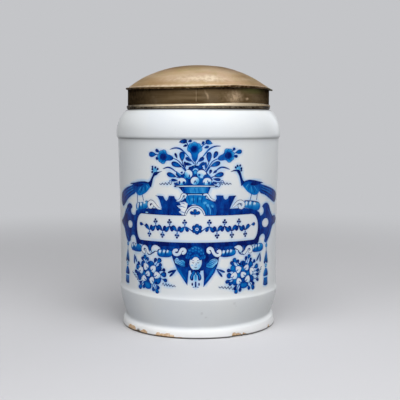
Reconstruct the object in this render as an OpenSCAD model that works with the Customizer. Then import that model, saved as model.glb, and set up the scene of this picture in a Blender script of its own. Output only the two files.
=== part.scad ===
// Albarello: a tin-glazed earthenware drug jar with a loose brass lid.
// Millimetres, +Z up, origin at the middle of the foot, front towards -Y.

/* [Jar widths] */
// Diameter of the wall just above the ridge
body_d = 158.8; // [140:0.2:180]
// How far the wall's radius grows on its way up to the shoulder
wall_flare = 1.9; // [0:0.1:4]
// How far the shoulder stands out from the top of the wall
shoulder_proud = 1.5; // [0.6:0.1:3]
// How far the ridge stands out from the wall
ridge_proud = 1.05; // [0.4:0.05:2.5]
// How far the belly's lean lies inside the wall
belly_in = 0.2; // [0:0.05:2]
// How far the crease above the foot lies inside the wall
crease_in = 5.9; // [3:0.1:8]
// Diameter of the foot
foot_d = 155.5; // [142:0.1:176]
// Diameter of the neck that the lid slips over
neck_d = 137.6; // [118:0.2:146]

/* [Jar heights] */
// Height of the foot up to the crease
foot_h = 11.2; // [9.5:0.1:18]
// Height of the foot's upright edge, below its bevel
foot_band_h = 7.4; // [4:0.1:9]
// Height from the crease to the place where the belly leans upright
belly_lean_h = 14.3; // [10:0.1:20]
// Height from the crease to the crest of the ridge
belly_h = 26.4; // [22:0.1:36]
// Height of the ridge above its crest
ridge_h = 5.4; // [4:0.1:14]
// Height from the crest of the ridge to the step under the shoulder
wall_h = 149.8; // [90:0.1:200]
// Height of the step under the shoulder
step_h = 3.3; // [2:0.1:9]
// Height of the shoulder's upright lower edge
shoulder_edge_h = 1.8; // [0.5:0.1:4]
// Height of the shoulder from its widest point to the ledge
shoulder_h = 24; // [18:0.5:32]
// Angle that the shoulder turns through before it meets the ledge
shoulder_turn = 70; // [50:1:85]
// Height of the neck above the ledge
neck_h = 15.5; // [10:0.5:24]

/* [Jar clay] */
// Thickness of the wall
wall_t = 6; // [4:0.25:8]
// Thickness of the neck
neck_t = 6.3; // [4:0.1:8]
// Thickness of the shoulder where it meets the neck
shoulder_t = 5.5; // [4:0.25:8]
// Thickness of the floor
floor_t = 8; // [5:0.5:12]
// Width of the rounded corner inside, at the floor
corner_w = 16; // [8:1:24]
// Width of the ring that the jar stands on
foot_ring_w = 15; // [8:0.5:22]
// Depth of the hollow under the floor
recess_h = 3; // [1.5:0.25:3.75]
// Slope of the hollow's side, measured along the floor
recess_slope = 2; // [0.5:0.25:4]
// How far the foot's lower edge is drawn in
foot_edge = 0.85; // [0.4:0.05:1.6]
// Length of the rounding between the foot's edge and its bevel
foot_round = 1.6; // [0.6:0.1:2.5]
// Length of the glaze-filled rounding in the crease
crease_round = 2.4; // [1:0.1:3.5]

/* [Lid] */
// Thickness of the brass sheet
sheet_t = 0.9; // [0.6:0.05:1.2]
// Gap all round between the neck and the band
lid_clear = 1.5; // [0.6:0.1:2.5]
// Ledge that shows outside the band
ledge_show = 0.5; // [0.3:0.1:1.5]
// Room between the rim of the jar and the lid's seam
rim_gap = 4; // [3:0.25:8]
// Height of the dome above the band
dome_h = 24; // [17:0.5:34]
// Radius of curvature of the flat crown
crown_curve = 200; // [150:5:320]
// Radius out to which the flat crown reaches
crown_reach = 20; // [10:1:28]
// How far the brim overhangs the band
brim_over = 3.3; // [2:0.1:5]
// Width of the brim outside the dome
brim_w = 4; // [3:0.1:5.5]
// Thickness of the brim's folded edge
brim_t = 1.8; // [1.4:0.1:2.4]
// Rise of the brim from its edge to the dome
brim_rise = 0.5; // [0.2:0.1:1.2]
// Width of the lapped seam at the front of the band
lap_w = 10; // [6:0.5:16]
// Thickness of the lapped end, which is filed thin
lap_t = 0.5; // [0.3:0.05:0.8]
// Angle from the front to the middle of the seam
lap_turn = 2.5; // [-10:0.5:10]
// Gap left above and below the lapped end
lap_gap = 0.4; // [0.3:0.1:1]

/* [Bead and solder] */
// Height of the bead's upper roll
roll_h = 3.2; // [2:0.1:4.5]
// How far the upper roll stands out from the band
roll_proud = 1.2; // [0.6:0.1:2]
// Height of the bead's lower roll
toe_h = 1.8; // [1:0.1:3]
// How far the lower roll stands out from the band
toe_proud = 0.9; // [0.5:0.1:1.6]
// Gap between the bead and the ledge
bead_rise = 0.6; // [0.4:0.1:1.5]
// Leg of the solder fillet between band and dome
solder_leg = 1.6; // [1:0.1:2.4]
// Flat land that the dome's hem shows inside the solder
hem_land = 0.6; // [0.3:0.1:1.5]

/* [Hidden] */
$fn = 144;
glaze = [0.89, 0.91, 0.92];
brass = [0.70, 0.58, 0.40];
tarnish = [0.38, 0.31, 0.22];
solder = [0.62, 0.61, 0.58];
steps = 8;

// Radii of the jar
wall_r = body_d / 2;
wall_top_r = wall_r + wall_flare;
shoulder_r = wall_top_r + shoulder_proud;
crest_r = wall_r + ridge_proud;
crease_r = wall_r - crease_in;
foot_r = foot_d / 2;
foot_in_r = foot_r - foot_ring_w;
neck_r = neck_d / 2;
mouth_r = neck_r - neck_t;

// Heights of the jar
crease_z = foot_h;
crest_z = crease_z + belly_h;
ridge_z = crest_z + ridge_h;
step_z = crest_z + wall_h;
step_top_z = step_z + step_h;
shoulder_z = step_top_z + shoulder_edge_h;
ledge_z = shoulder_z + shoulder_h;
rim_z = ledge_z + neck_h;
floor_z = recess_h + floor_t;

// Corners of the foot and the belly, and the roundings that soften them
foot_corner = [foot_r, foot_band_h];
crease = [crease_r, crease_z];
belly_lean = [wall_r - belly_in, crease_z + belly_lean_h];
bevel_round = min(foot_round, norm(crease - foot_corner) / 3);
bevel_low = towards(foot_corner, crease, bevel_round);
bevel_high = towards(crease, foot_corner, min(crease_round, norm(crease - foot_corner) / 3));
belly_low = towards(crease, belly_lean, crease_round);
foot_edge_z = foot_band_h - bevel_round;

// Places of the lid
band_in_r = neck_r + lid_clear;
band_out_r = band_in_r + sheet_t;
band_h = neck_h + rim_gap;
ledge_r = band_out_r + ledge_show;
seat_z = ledge_z + band_h;
brim_r = band_out_r + brim_over;
hem_in_r = band_in_r - solder_leg - hem_land;
toe_z = ledge_z + bead_rise;
roll_z = toe_z + toe_h;
roll_top_z = roll_z + roll_h;

// Dome: a flat crown that runs smoothly into a rounder flank, which ends where the brim starts
apex_z = seat_z + dome_h;
flank_end = [brim_r - brim_w, seat_z + brim_t + brim_rise];
crown_mid = [0, apex_z - crown_curve];
crown_turn = asin(crown_reach / crown_curve);
crown_end = crown_mid + crown_curve * [sin(crown_turn), cos(crown_turn)];
crown_normal = [sin(crown_turn), cos(crown_turn)];
flank_chord = flank_end - crown_end;
flank_curve = -(flank_chord * flank_chord) / (2 * flank_chord * crown_normal);
flank_mid = crown_end - flank_curve * crown_normal;
flank_stop = acos((flank_end[0] - flank_mid[0]) / flank_curve);
hem_stop = acos((hem_in_r - flank_mid[0]) / (flank_curve - sheet_t));

// The point a length away from p in the direction of q
function towards(p, q, length) = p + length * (q - p) / norm(q - p);

// Points on an ellipse about mid, with half widths half, from angle a0 to a1
function ellipse_arc(mid, half, a0, a1, n = steps) =
  [for (i = [0 : n])
    let (a = a0 + (a1 - a0) * i / n)
    mid + [half[0] * cos(a), half[1] * sin(a)]];

// Points on a circle about mid
function arc(mid, r, a0, a1, n = steps) = ellipse_arc(mid, [r, r], a0, a1, n);

// Points on a curve from p to q that leaves p towards c and reaches q from c
function bend(p, c, q, n = steps) =
  [for (i = [0 : n])
    let (t = i / n)
    (1 - t) * (1 - t) * p + 2 * t * (1 - t) * c + t * t * q];

// Points on an S-shaped blend from p to q, upright at both ends
function ease(p, q, n = steps) =
  [for (i = [0 : n])
    let (t = i / n)
    [p[0] + (q[0] - p[0]) * t * t * (3 - 2 * t), p[1] + (q[1] - p[1]) * t]];

// Points up the wall, which flares more towards its top
function flared(p, q, n = steps) =
  [for (i = [0 : n])
    let (t = i / n)
    [p[0] + (q[0] - p[0]) * t * t, p[1] + (q[1] - p[1]) * t]];

// Points of the shoulder, from its widest point to the ledge
function shoulder_curve(n = 12) =
  [for (i = [0 : n])
    let (a = shoulder_turn * i / n)
    let (inward = (1 - cos(a)) / (1 - cos(shoulder_turn)))
    [shoulder_r - (shoulder_r - ledge_r) * inward,
     shoulder_z + shoulder_h * sin(a) / sin(shoulder_turn)]];

// A list of points without those that repeat the one before
function tidy(pts) =
  [for (i = [0 : len(pts) - 1])
    if (i == 0 || norm(pts[i] - pts[max(i - 1, 0)]) > 0.001) pts[i]];

foot_points = concat(
  [[0, recess_h], [foot_in_r - recess_slope, recess_h], [foot_in_r, 0]],
  ellipse_arc([foot_r - foot_edge, foot_edge_z], [foot_edge, foot_edge_z], -90, 0),
  bend([foot_r, foot_edge_z], foot_corner, bevel_low, 5));

belly_points = concat(
  bend(bevel_high, crease, belly_low),
  bend(belly_low, belly_lean, [crest_r, crest_z], 12),
  ease([crest_r, crest_z], [wall_r, ridge_z]));

wall_points = concat(
  flared([wall_r, ridge_z], [wall_top_r, step_z]),
  ease([wall_top_r, step_z], [shoulder_r, step_top_z]),
  shoulder_curve());

neck_points = concat(
  [[neck_r, ledge_z]],
  arc([neck_r - neck_t / 2, rim_z - neck_t / 2], neck_t / 2, 0, 180, 12));

inside_points = concat(
  ellipse_arc([mouth_r, shoulder_z], [shoulder_r - wall_t - mouth_r, shoulder_h - shoulder_t], 90, 0),
  [[wall_top_r - wall_t, step_z], [wall_r - wall_t, ridge_z]],
  ellipse_arc([wall_r - wall_t - corner_w, crest_z], [corner_w, crest_z - floor_z], 0, -90),
  [[0, floor_z]]);

// Thrown and glazed jar, all one piece of fired clay
module jar_body() {
  color(glaze)
    rotate_extrude()
      polygon(tidy(concat(foot_points, belly_points, wall_points, neck_points, inside_points)));
}

// Raised dome with its folded brim, whose flat underside sits on the band
module lid_dome() {
  outside = concat(
    arc(crown_mid, crown_curve, 90, 90 - crown_turn, 5),
    arc(flank_mid, flank_curve, 90 - crown_turn, flank_stop, 16),
    arc([brim_r - brim_t / 2, seat_z + brim_t / 2], brim_t / 2, 90, -90));
  inside = concat(
    [[hem_in_r, seat_z]],
    arc(flank_mid, flank_curve - sheet_t, hem_stop, 90 - crown_turn, 16),
    arc(crown_mid, crown_curve - sheet_t, 90 - crown_turn, 90, 5));
  color(brass)
    rotate_extrude()
      polygon(tidy(concat(outside, inside)));
}

// Strip bent into a ring, with one end lapped over the other
module lid_band() {
  lap_angle = lap_w / band_out_r * 180 / PI;
  lap_low_z = roll_top_z + lap_gap;
  lap_high_z = seat_z - lap_gap;
  color(tarnish)
    union() {
      rotate_extrude()
        translate([band_in_r, ledge_z])
          square([sheet_t, band_h]);
      rotate([0, 0, -90 + lap_turn - lap_angle / 2])
        rotate_extrude(angle = lap_angle)
          translate([band_out_r - sheet_t / 2, lap_low_z])
            square([sheet_t / 2 + lap_t, lap_high_z - lap_low_z]);
    }
}

// Moulded wire of two rolls round the foot of the band
module lid_bead() {
  color(brass)
    rotate_extrude()
      polygon(tidy(concat(
        ellipse_arc([band_out_r, toe_z + toe_h / 2], [toe_proud, toe_h / 2], -90, 90),
        ellipse_arc([band_out_r, roll_z + roll_h / 2], [roll_proud, roll_h / 2], -90, 90))));
}

// Solder run into the corner between the band and the dome's hem
module dome_solder() {
  color(solder)
    rotate_extrude()
      polygon(concat(
        [[band_in_r, seat_z]],
        arc([band_in_r - solder_leg, seat_z - solder_leg], solder_leg, 90, 0)));
}

jar_body();
lid_dome();
lid_band();
lid_bead();
dome_solder();
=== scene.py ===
import bisect
import math
import random

import bmesh
import bpy
import numpy as np
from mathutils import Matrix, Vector, noise
from mathutils.geometry import delaunay_2d_cdt


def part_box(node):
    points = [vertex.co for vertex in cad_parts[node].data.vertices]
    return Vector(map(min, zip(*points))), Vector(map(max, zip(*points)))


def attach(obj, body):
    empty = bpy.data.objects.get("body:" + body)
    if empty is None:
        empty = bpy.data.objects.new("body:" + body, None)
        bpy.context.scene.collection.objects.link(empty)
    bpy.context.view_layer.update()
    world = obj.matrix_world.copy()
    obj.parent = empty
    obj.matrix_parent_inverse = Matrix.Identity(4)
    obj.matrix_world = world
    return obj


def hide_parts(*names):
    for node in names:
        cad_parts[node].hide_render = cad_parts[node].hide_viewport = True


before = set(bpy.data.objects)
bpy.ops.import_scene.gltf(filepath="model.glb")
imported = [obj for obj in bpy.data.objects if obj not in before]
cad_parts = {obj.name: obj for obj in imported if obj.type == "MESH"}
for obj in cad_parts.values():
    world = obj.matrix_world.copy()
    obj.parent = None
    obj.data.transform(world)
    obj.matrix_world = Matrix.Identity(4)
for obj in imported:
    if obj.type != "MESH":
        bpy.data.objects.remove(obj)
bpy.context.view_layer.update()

# Sizes are in millimetres, angles in degrees, and the jar's front faces -Y
MM = 0.001
COLUMNS = 360
STEP = math.radians(360 / COLUMNS)

# Heights and widths that the frame gives
jar_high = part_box("jar_body")[1]
dome_low, dome_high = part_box("lid_dome")
band_low, band_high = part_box("lid_band")
bead_low, bead_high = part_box("lid_bead")
SHOULDER_R = jar_high.x / MM
RIM_Z = jar_high.z / MM
BRIM_R = dome_high.x / MM
SEAT_Z = dome_low.z / MM
APEX_Z = dome_high.z / MM
BAND_R = band_high.x / MM
LEDGE_Z = band_low.z / MM
BEAD_R = bead_high.x / MM
BEAD_LOW = bead_low.z / MM
BEAD_HIGH = bead_high.z / MM

# The jar's own outline
TOE_R = 76.9
FOOT_R = 77.75
FOOT_EDGE_Z = 2.2
FOOT_CORNER_Z = 6.8
BEVEL_LOW = (76.4, 8.6)
BEVEL_HIGH = (74.9, 9.9)
CREASE = (73.5, 11.2)
BELLY_LOW = (74.4, 13.4)
BELLY_LEAN = (79.2, 25.5)
CREST = (80.45, 37.6)
RIDGE_TURN = (79.5, 39.6)
WALL_LOW = (79.4, 43)
WALL_HIGH = (81.3, 187.4)
STEP_TOP_Z = 190.7
SHOULDER_Z = 192.5
SHOULDER_TURN = math.radians(70)
LEDGE_R = 71.7
NECK_R = 68.8
MOUTH_R = 62.5
FLOOR_Z = 11
RECESS_TOP_R = 60.8
RECESS_R = 62.8
RECESS_Z = 3
INNER_SHOULDER = (76.8, 211)
INNER_WALL = (73.4, 37.6)
INNER_CORNER_R = 57.4
SHOULDER_ROWS = 18
GROOVE_Z = 188.4
# Edges that turn by more than this are drawn sharp
JAR_SHARP = 50

# The painted front: arc millimetres at this radius, and its reach to each side and up
PAINT_R = 80
PAINT_SIDE = 82
PAINT_LOW = 41
PAINT_HIGH = 190
LONGEST_EDGE = 2.5
# Rows above this height keep all their points, so the painted shade in the groove has no dotted edge
GROOVE_LOW = 184
# How the picture map is shared out: the painted front, then the turned rows above it
FRONT_TALL = 0.63
ROWS_LOW = 0.64
ROWS_TALL = 0.355
INSIDE_SHARE = 0.35

# Tones of the cobalt, from bare glaze to the outlining ink
BARE, PALE, WASH, MID, COBALT, DEEP, INK = 0, 0.18, 0.36, 0.54, 0.7, 0.86, 1


def smooth(low, high, value):
    """A soft step from 0 at low to 1 at high."""
    t = min(1, max(0, (value - low) / (high - low)))
    return t * t * (3 - 2 * t)


def spot(value, mid, half):
    """A soft spot: 1 at its middle and fading beyond its half width."""
    return math.exp(-(((value - mid) / half) ** 2))


def shares(steps):
    """Even shares of a run, the last of them 1."""
    return [(i + 1) / steps for i in range(steps)]


def between(p, q, share):
    """The place that lies this share of the way from p to q."""
    return tuple(a + (b - a) * share for a, b in zip(p, q))


def straight(p, q, steps):
    """Points along a straight run, without its start."""
    return [between(p, q, t) for t in shares(steps)]


def oval(mid, half, start, stop, steps):
    """Part of an oval, between two angles."""
    turns = [math.radians(start + (stop - start) * (i + 1) / steps) for i in range(steps)]
    return [(mid[0] + half[0] * math.cos(a), mid[1] + half[1] * math.sin(a)) for a in turns]


def bend(p, via, q, steps):
    """One even bend from p to q that leans towards via."""
    line = []
    for t in shares(steps):
        line.append(tuple((1 - t) ** 2 * a + 2 * t * (1 - t) * b + t * t * c for a, b, c in zip(p, via, q)))
    return line


def ease(p, q, steps):
    """An S-shaped blend from p up to q."""
    return [(p[0] + (q[0] - p[0]) * smooth(0, 1, t), p[1] + (q[1] - p[1]) * t) for t in shares(steps)]


def jar_outside():
    """The outline from the middle of the underside to the ledge, as (radius, height)."""
    line = [(0, RECESS_Z)]
    line += straight((0, RECESS_Z), (RECESS_TOP_R, RECESS_Z), 4)
    line += straight((RECESS_TOP_R, RECESS_Z), (RECESS_R, 0), 2)
    line += straight((RECESS_R, 0), (TOE_R, 0), 6)
    line += bend((TOE_R, 0), (FOOT_R, 0.3), (FOOT_R, FOOT_EDGE_Z), 7)
    line += bend((FOOT_R, FOOT_EDGE_Z), (FOOT_R - 0.3, FOOT_CORNER_Z), BEVEL_LOW, 6)
    line += straight(BEVEL_LOW, BEVEL_HIGH, 3)
    line += bend(BEVEL_HIGH, CREASE, BELLY_LOW, 7)
    line += bend(BELLY_LOW, BELLY_LEAN, CREST, 18)
    line += bend(CREST, RIDGE_TURN, WALL_LOW, 9)
    flare = WALL_HIGH[0] - WALL_LOW[0]
    climb = straight((0, WALL_LOW[1]), (1, WALL_HIGH[1]), 44)
    line += [(WALL_LOW[0] + flare * t * t, z) for t, z in climb]
    line += ease(WALL_HIGH, (SHOULDER_R - 0.03, STEP_TOP_Z), 8)
    line += straight(line[-1], (SHOULDER_R, SHOULDER_Z), 2)
    for i in range(SHOULDER_ROWS):
        turn = SHOULDER_TURN * (i + 1) / SHOULDER_ROWS
        fall = (1 - math.cos(turn)) / (1 - math.cos(SHOULDER_TURN))
        rise = math.sin(turn) / math.sin(SHOULDER_TURN)
        r = SHOULDER_R - (SHOULDER_R - LEDGE_R) * fall
        line.append((r, SHOULDER_Z + (LEDGE_Z - SHOULDER_Z) * rise))
    return line


def jar_inside():
    """The outline from the ledge over the rim and down inside to the middle of the floor."""
    lip = (NECK_R - MOUTH_R) / 2
    lip_mid = (MOUTH_R + lip, RIM_Z - lip)
    line = straight((LEDGE_R, LEDGE_Z), (NECK_R, LEDGE_Z), 2)
    line += straight((NECK_R, LEDGE_Z), (NECK_R, RIM_Z - lip), 5)
    line += oval(lip_mid, (lip, lip), 0, 180, 12)
    line += straight((MOUTH_R, RIM_Z - lip), (MOUTH_R, INNER_SHOULDER[1]), 5)
    shoulder_half = (INNER_SHOULDER[0] - MOUTH_R, INNER_SHOULDER[1] - SHOULDER_Z)
    line += oval((MOUTH_R, SHOULDER_Z), shoulder_half, 90, 0, 10)
    line += straight((INNER_SHOULDER[0], SHOULDER_Z), INNER_WALL, 14)
    corner_half = (INNER_WALL[0] - INNER_CORNER_R, INNER_WALL[1] - FLOOR_Z)
    line += oval((INNER_CORNER_R, INNER_WALL[1]), corner_half, 0, -90, 10)
    line += straight((INNER_CORNER_R, FLOOR_Z), (0, FLOOR_Z), 6)
    return line


OUTSIDE = jar_outside()
INSIDE = jar_inside()
UPRIGHT = [p for p in OUTSIDE if p[1] >= CREST[1]]
UPRIGHT_Z = [p[1] for p in UPRIGHT]


def wall_radius(z):
    """The jar's outside radius at a height above the foot."""
    i = min(len(UPRIGHT) - 1, max(1, bisect.bisect_left(UPRIGHT_Z, z)))
    (r0, z0), (r1, z1) = UPRIGHT[i - 1], UPRIGHT[i]
    return r0 + (r1 - r0) * (z - z0) / (z1 - z0)


# Chips along the foot: from and to in degrees round the front, height, depth
CHIPS = [
    (-64, -51.5, 6, 1),
    (-50.5, -47.5, 2.4, 3.2),
    (-46, -39.5, 4.6, 1.1),
    (-32, -16.5, 4.2, 0.9),
    (-15, -11, 1.4, 1),
    (24, 32, 4.2, 0.9),
    (33.4, 36.4, 3.4, 0.8),
    (63, 65, 4, 0.6),
    (118, 131, 3.6, 1.0),
    (196, 207, 3.2, 0.9),
]
# Chips are looked for below this height, and this many degrees past each end
CHIP_TOP = 8
CHIP_MARGIN = 3


def chipping(turn, z):
    """How far the glaze is chipped away (0 to 1) at a place on the foot, and how deep."""
    for low, high, height, depth in CHIPS:
        angle = math.degrees(turn)
        if angle < low - CHIP_MARGIN:
            angle += 360
        if low - CHIP_MARGIN < angle < high + CHIP_MARGIN:
            ragged = noise.noise(Vector((angle * 0.32, z * 0.4, 3)))
            ragged += 0.5 * noise.noise(Vector((angle * 0.9, z * 0.9, 7)))
            across = (2 * angle - low - high) / (high - low + 1.5)
            far = (abs(across) ** 3 + (z / height) ** 2) ** 0.5 + 0.45 * ragged
            gone = 1 - smooth(0.72, 1.12, far)
            if gone > 0:
                return gone, depth
    return 0, 0


# Smudges on the belly, and last a painted shadow in the notch of a chip at the foot: degrees round the
# front, height, half sizes, strength
SMUDGES_AND_NOTCH_SHADOW = [
    (2.4, 25, 1.2, 1.6, 0.3), (5.4, 21.4, 1.4, 1.2, 0.26), (25.5, 33, 1.8, 2, 0.24),
    (26.8, 30, 0.9, 1, 0.24), (311, 0.6, 2, 2.6, 1.5),
]


def painted_shade_and_dirt(angle, r, z):
    """How dark the glaze is made: painted shadow under the lid, painted shade in the groove under the
    shoulder, the foot's edge dirtied and darkened by a painted contact shadow, smudges on the belly, and a
    painted shadow in a chip's notch.
    """
    # Painted shade in the groove under the shoulder, stronger on the left, and painted shadow under the
    # lid, reaching further down at the right front
    groove = 0.52 + 0.22 * max(0, -math.sin(math.radians(angle)))
    reach = 2 + 0.9 * spot(angle, 28, 26)
    shade_and_dirt = smooth(LEDGE_Z - reach, LEDGE_Z - 0.2, z) + groove * spot(z, GROOVE_Z, 1)
    # Along the foot's lower edge: dirt and a painted contact shadow
    if r > RECESS_R:
        shade_and_dirt += 1 - smooth(0.6, 2, z)
    for mid, height, wide, tall, strength in SMUDGES_AND_NOTCH_SHADOW:
        shade_and_dirt += strength * math.exp(-(((angle - mid) / wide) ** 2) - ((z - height) / tall) ** 2)
    return shade_and_dirt


def unevenness(turn, z):
    """The potter's hand: slow waves round the wall and low rings up it."""
    around = Vector((math.cos(turn), math.sin(turn), 0))
    slow = noise.noise(around * 1.3 + Vector((0, 0, z * 0.011)))
    rings = noise.noise(around * 0.4 + Vector((7, 3, z * 0.16)))
    foot = noise.noise(around * 4.5 + Vector((0, 5, z * 0.05))) * (1 - smooth(9, 16, z))
    hold = smooth(0, 3, z) * (1 - smooth(205, 214, z))
    return (0.16 * slow + 0.05 * rings + 0.22 * foot - 0.16) * hold


def heading(turn):
    """A place on a ring of radius 1, to read noise round the lid."""
    return Vector((math.sin(turn), math.cos(turn), 0))


def round_point(turn, r, z):
    """A place at a turn from the front, in metres."""
    return Vector((r * math.sin(turn), -r * math.cos(turn), z)) * MM


def jar_point(turn, r, z):
    """A place on the jar's outside, uneven and chipped."""
    gone, depth = chipping(turn, z) if z < CHIP_TOP and r > RECESS_R + 6 else (0, 0)
    lift = 0.55 * gone * depth * (1 - smooth(0, 1.5, z))
    # The crease stands higher at the back and right, and the ridge at the left
    climb = (1.1 * math.sin(turn) - 1.9 * math.cos(turn)) * smooth(3, 10, z) * (1 - smooth(12, 30, z))
    climb += 2.2 * max(0, -math.sin(turn)) ** 2 * smooth(27, 36, z) * (1 - smooth(38.5, 47, z))
    return round_point(turn, r + unevenness(turn, z) - gone * depth, z + lift + climb)


def wall_point(across, z):
    """A place on the painted wall."""
    return jar_point(across / PAINT_R, wall_radius(z), z)


def wall_normal(across, z):
    """Which way the painted wall faces at a place."""
    reach = 1.2
    side = wall_point(across + reach, z) - wall_point(across - reach, z)
    up = wall_point(across, z + reach) - wall_point(across, z - reach)
    return side.cross(up).normalized()


# The painter's tools


def glide(a, b, c, d, t):
    """A smooth run from b to c, with a before them and d after."""
    bow = a - 2.5 * b + 2 * c - d / 2
    return b + t * (c - a) / 2 + t * t * bow + t**3 * (1.5 * (b - c) + (d - a) / 2)


def curve(points, closed=False, steps=5):
    """A smooth line through given points."""
    count = len(points)
    line = []
    for i in range(count if closed else count - 1):
        before = points[i - 1] if closed or i else points[0]
        here = points[i]
        there = points[(i + 1) % count]
        after = points[(i + 2) % count] if closed or i + 2 < count else points[-1]
        for k in range(steps):
            t = k / steps
            line.append(tuple(glide(*four, t) for four in zip(before, here, there, after)))
    return line if closed else line + [tuple(points[-1])]


def scaled(line, mid, share):
    """A closed line drawn in towards a point."""
    return [(mid[0] + (u - mid[0]) * share, mid[1] + (z - mid[1]) * share) for u, z in line]


def shifted(line, place):
    """A line drawn about the origin, moved to a place."""
    return [(place[0] + x, place[1] + y) for x, y in line]


def middle(points):
    """The mean of some points."""
    return tuple(sum(p[k] for p in points) / len(points) for k in (0, 1))


def shade(first, last, start, stop):
    """A wash that runs from one tone at start to another at stop."""
    run = (stop[0] - start[0], stop[1] - start[1])
    square = run[0] ** 2 + run[1] ** 2

    def tone(u, z):
        t = ((u - start[0]) * run[0] + (z - start[1]) * run[1]) / square
        return first + (last - first) * smooth(0, 1, t)

    return tone


def glow(inner, outer, mid, half, turn=0):
    """A wash that runs from one tone in the middle of an oval to another at its edge."""
    cos, sin = math.cos(math.radians(turn)), math.sin(math.radians(turn))

    def tone(u, z):
        x, y = u - mid[0], z - mid[1]
        far = math.hypot((x * cos + y * sin) / half[0], (y * cos - x * sin) / half[1])
        return inner + (outer - inner) * smooth(0.3, 1, far)

    return tone


def winds_round(line, places):
    """Whether a closed line runs round each place, also where the line crosses itself."""
    turns = np.zeros(len(places), int)
    u, z = places[:, 0], places[:, 1]
    for (u0, z0), (u1, z1) in zip(line, np.roll(line, -1, axis=0)):
        left = (u1 - u0) * (z - z0) - (u - u0) * (z1 - z0)
        turns += (z0 <= z) & (z1 > z) & (left > 0)
        turns -= (z0 > z) & (z1 <= z) & (left < 0)
    return turns != 0


class Painting:
    """Painted shapes, laid one over another, in millimetres across and up the wall."""

    def __init__(self):
        self.outlines = []
        self.tones = []

    def lay(self, outline, tone):
        """Puts down one shape, with points close enough together to bend round the wall."""
        line = []
        for p, q in zip(outline, outline[1:] + outline[:1]):
            parts = max(1, math.ceil(math.dist(p, q) / LONGEST_EDGE))
            line += [p] + straight(p, q, parts)[:-1]
        self.outlines.append(line)
        self.tones.append(tone)

    def topmost(self, places):
        """For each place, the number of the last shape laid over it, or -1."""
        places = np.array(places)
        top = np.full(len(places), -1)
        for number, outline in enumerate(self.outlines):
            line = np.array(outline)
            near = np.all((places > line.min(0)) & (places < line.max(0)), axis=1).nonzero()[0]
            if len(near):
                top[near[winds_round(line, places[near])]] = number
        return top

    def blob(self, points, tone, steps=5):
        self.lay(curve(points, True, steps), tone)

    def disc(self, mid, half, tone, turn=0, count=16):
        cos, sin = math.cos(math.radians(turn)), math.sin(math.radians(turn))
        ring = oval((0, 0), half, 0, 360, count)
        self.lay([(mid[0] + x * cos - y * sin, mid[1] + x * sin + y * cos) for x, y in ring], tone)

    def ball(self, mid, half, inner, outer, turn=0):
        """A disc whose tone runs from its middle to its edge."""
        tone = glow(inner, outer, mid, half, turn)
        for share in (1, 0.55):
            self.disc(mid, (half[0] * share, half[1] * share), tone, turn, 14)

    def stroke(self, points, width, tone, ends=(0.3, 0.3), steps=5):
        """One pull of the brush, thinner at its ends."""
        line = curve(points, False, steps)
        last = len(line) - 1
        left, right = [], []
        for i, (u, z) in enumerate(line):
            t = i / last
            (u0, z0), (u1, z1) = line[max(0, i - 1)], line[min(last, i + 1)]
            long = math.hypot(u1 - u0, z1 - z0) or 1
            thin = ends[0] + (ends[1] - ends[0]) * t
            half = width / 2 * (thin + (1 - thin) * math.sin(math.pi * t) ** 0.6)
            across = ((z0 - z1) / long * half, (u1 - u0) / long * half)
            left.append((u + across[0], z + across[1]))
            right.append((u - across[0], z - across[1]))
        for k in range(0, last, steps):
            self.lay(left[k : k + steps + 1] + right[k : k + steps + 1][::-1], tone)

    def leaf(self, base, tip, half_width, rim, heart):
        """A leaf with a pointed base, a round tip and a lighter heart."""
        run = (tip[0] - base[0], tip[1] - base[1])
        size = math.hypot(*run)
        outline = []
        for k in range(16):
            a = 2 * math.pi * k / 16
            t, side = (1 - math.cos(a)) / 2, 1.3 * half_width * math.sin(a) * math.sin(a / 2) / size
            outline.append((base[0] + run[0] * t - run[1] * side, base[1] + run[1] * t + run[0] * side))
        mid = middle(outline)
        tone = glow(heart, rim, mid, (size / 2, half_width), math.degrees(math.atan2(run[1], run[0])))
        self.lay(outline, tone)
        self.lay(scaled(outline, mid, 0.55), tone)

    def dab(self, mid, half_long, half_wide, turn):
        """A leaf of the sprays: nearly ink when small, and lighter inside when large."""
        a = math.radians(turn)
        along = (math.cos(a) * half_long, math.sin(a) * half_long)
        heart = COBALT - 0.04 if half_wide > 1.9 else DEEP
        root, tip = (mid[0] - along[0], mid[1] - along[1]), (mid[0] + along[0], mid[1] + along[1])
        self.leaf(root, tip, half_wide, INK, heart)

    def scroll(self, points, width, tail):
        """A bare ribbon inside an ink line, with a round head and a tail of this share of its width."""
        for extra, tone in ((1.6, INK), (0.6, BARE)):
            self.stroke(points, width + extra, tone, (1, tail))
            for end, share in ((points[0], 1), (points[-1], tail)):
                half = (width + extra) / 2 * share
                self.disc(end, (half, half), tone, 0, 12)

    def squiggle(self, start, stop, waves, height):
        """A tendril that runs out in waves, large at its start and small at its end."""
        run = (stop[0] - start[0], stop[1] - start[1])
        long = math.hypot(*run)
        line = []
        for i in range(2 * waves + 1):
            t = i / (2 * waves)
            side = (1.4 - 0.9 * t) * (height if i % 2 else -height) / long
            line.append((start[0] + run[0] * t - run[1] * side, start[1] + run[1] * t + run[0] * side))
        self.stroke(line, 0.75, INK, (0.5, 0.9), 4)


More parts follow.
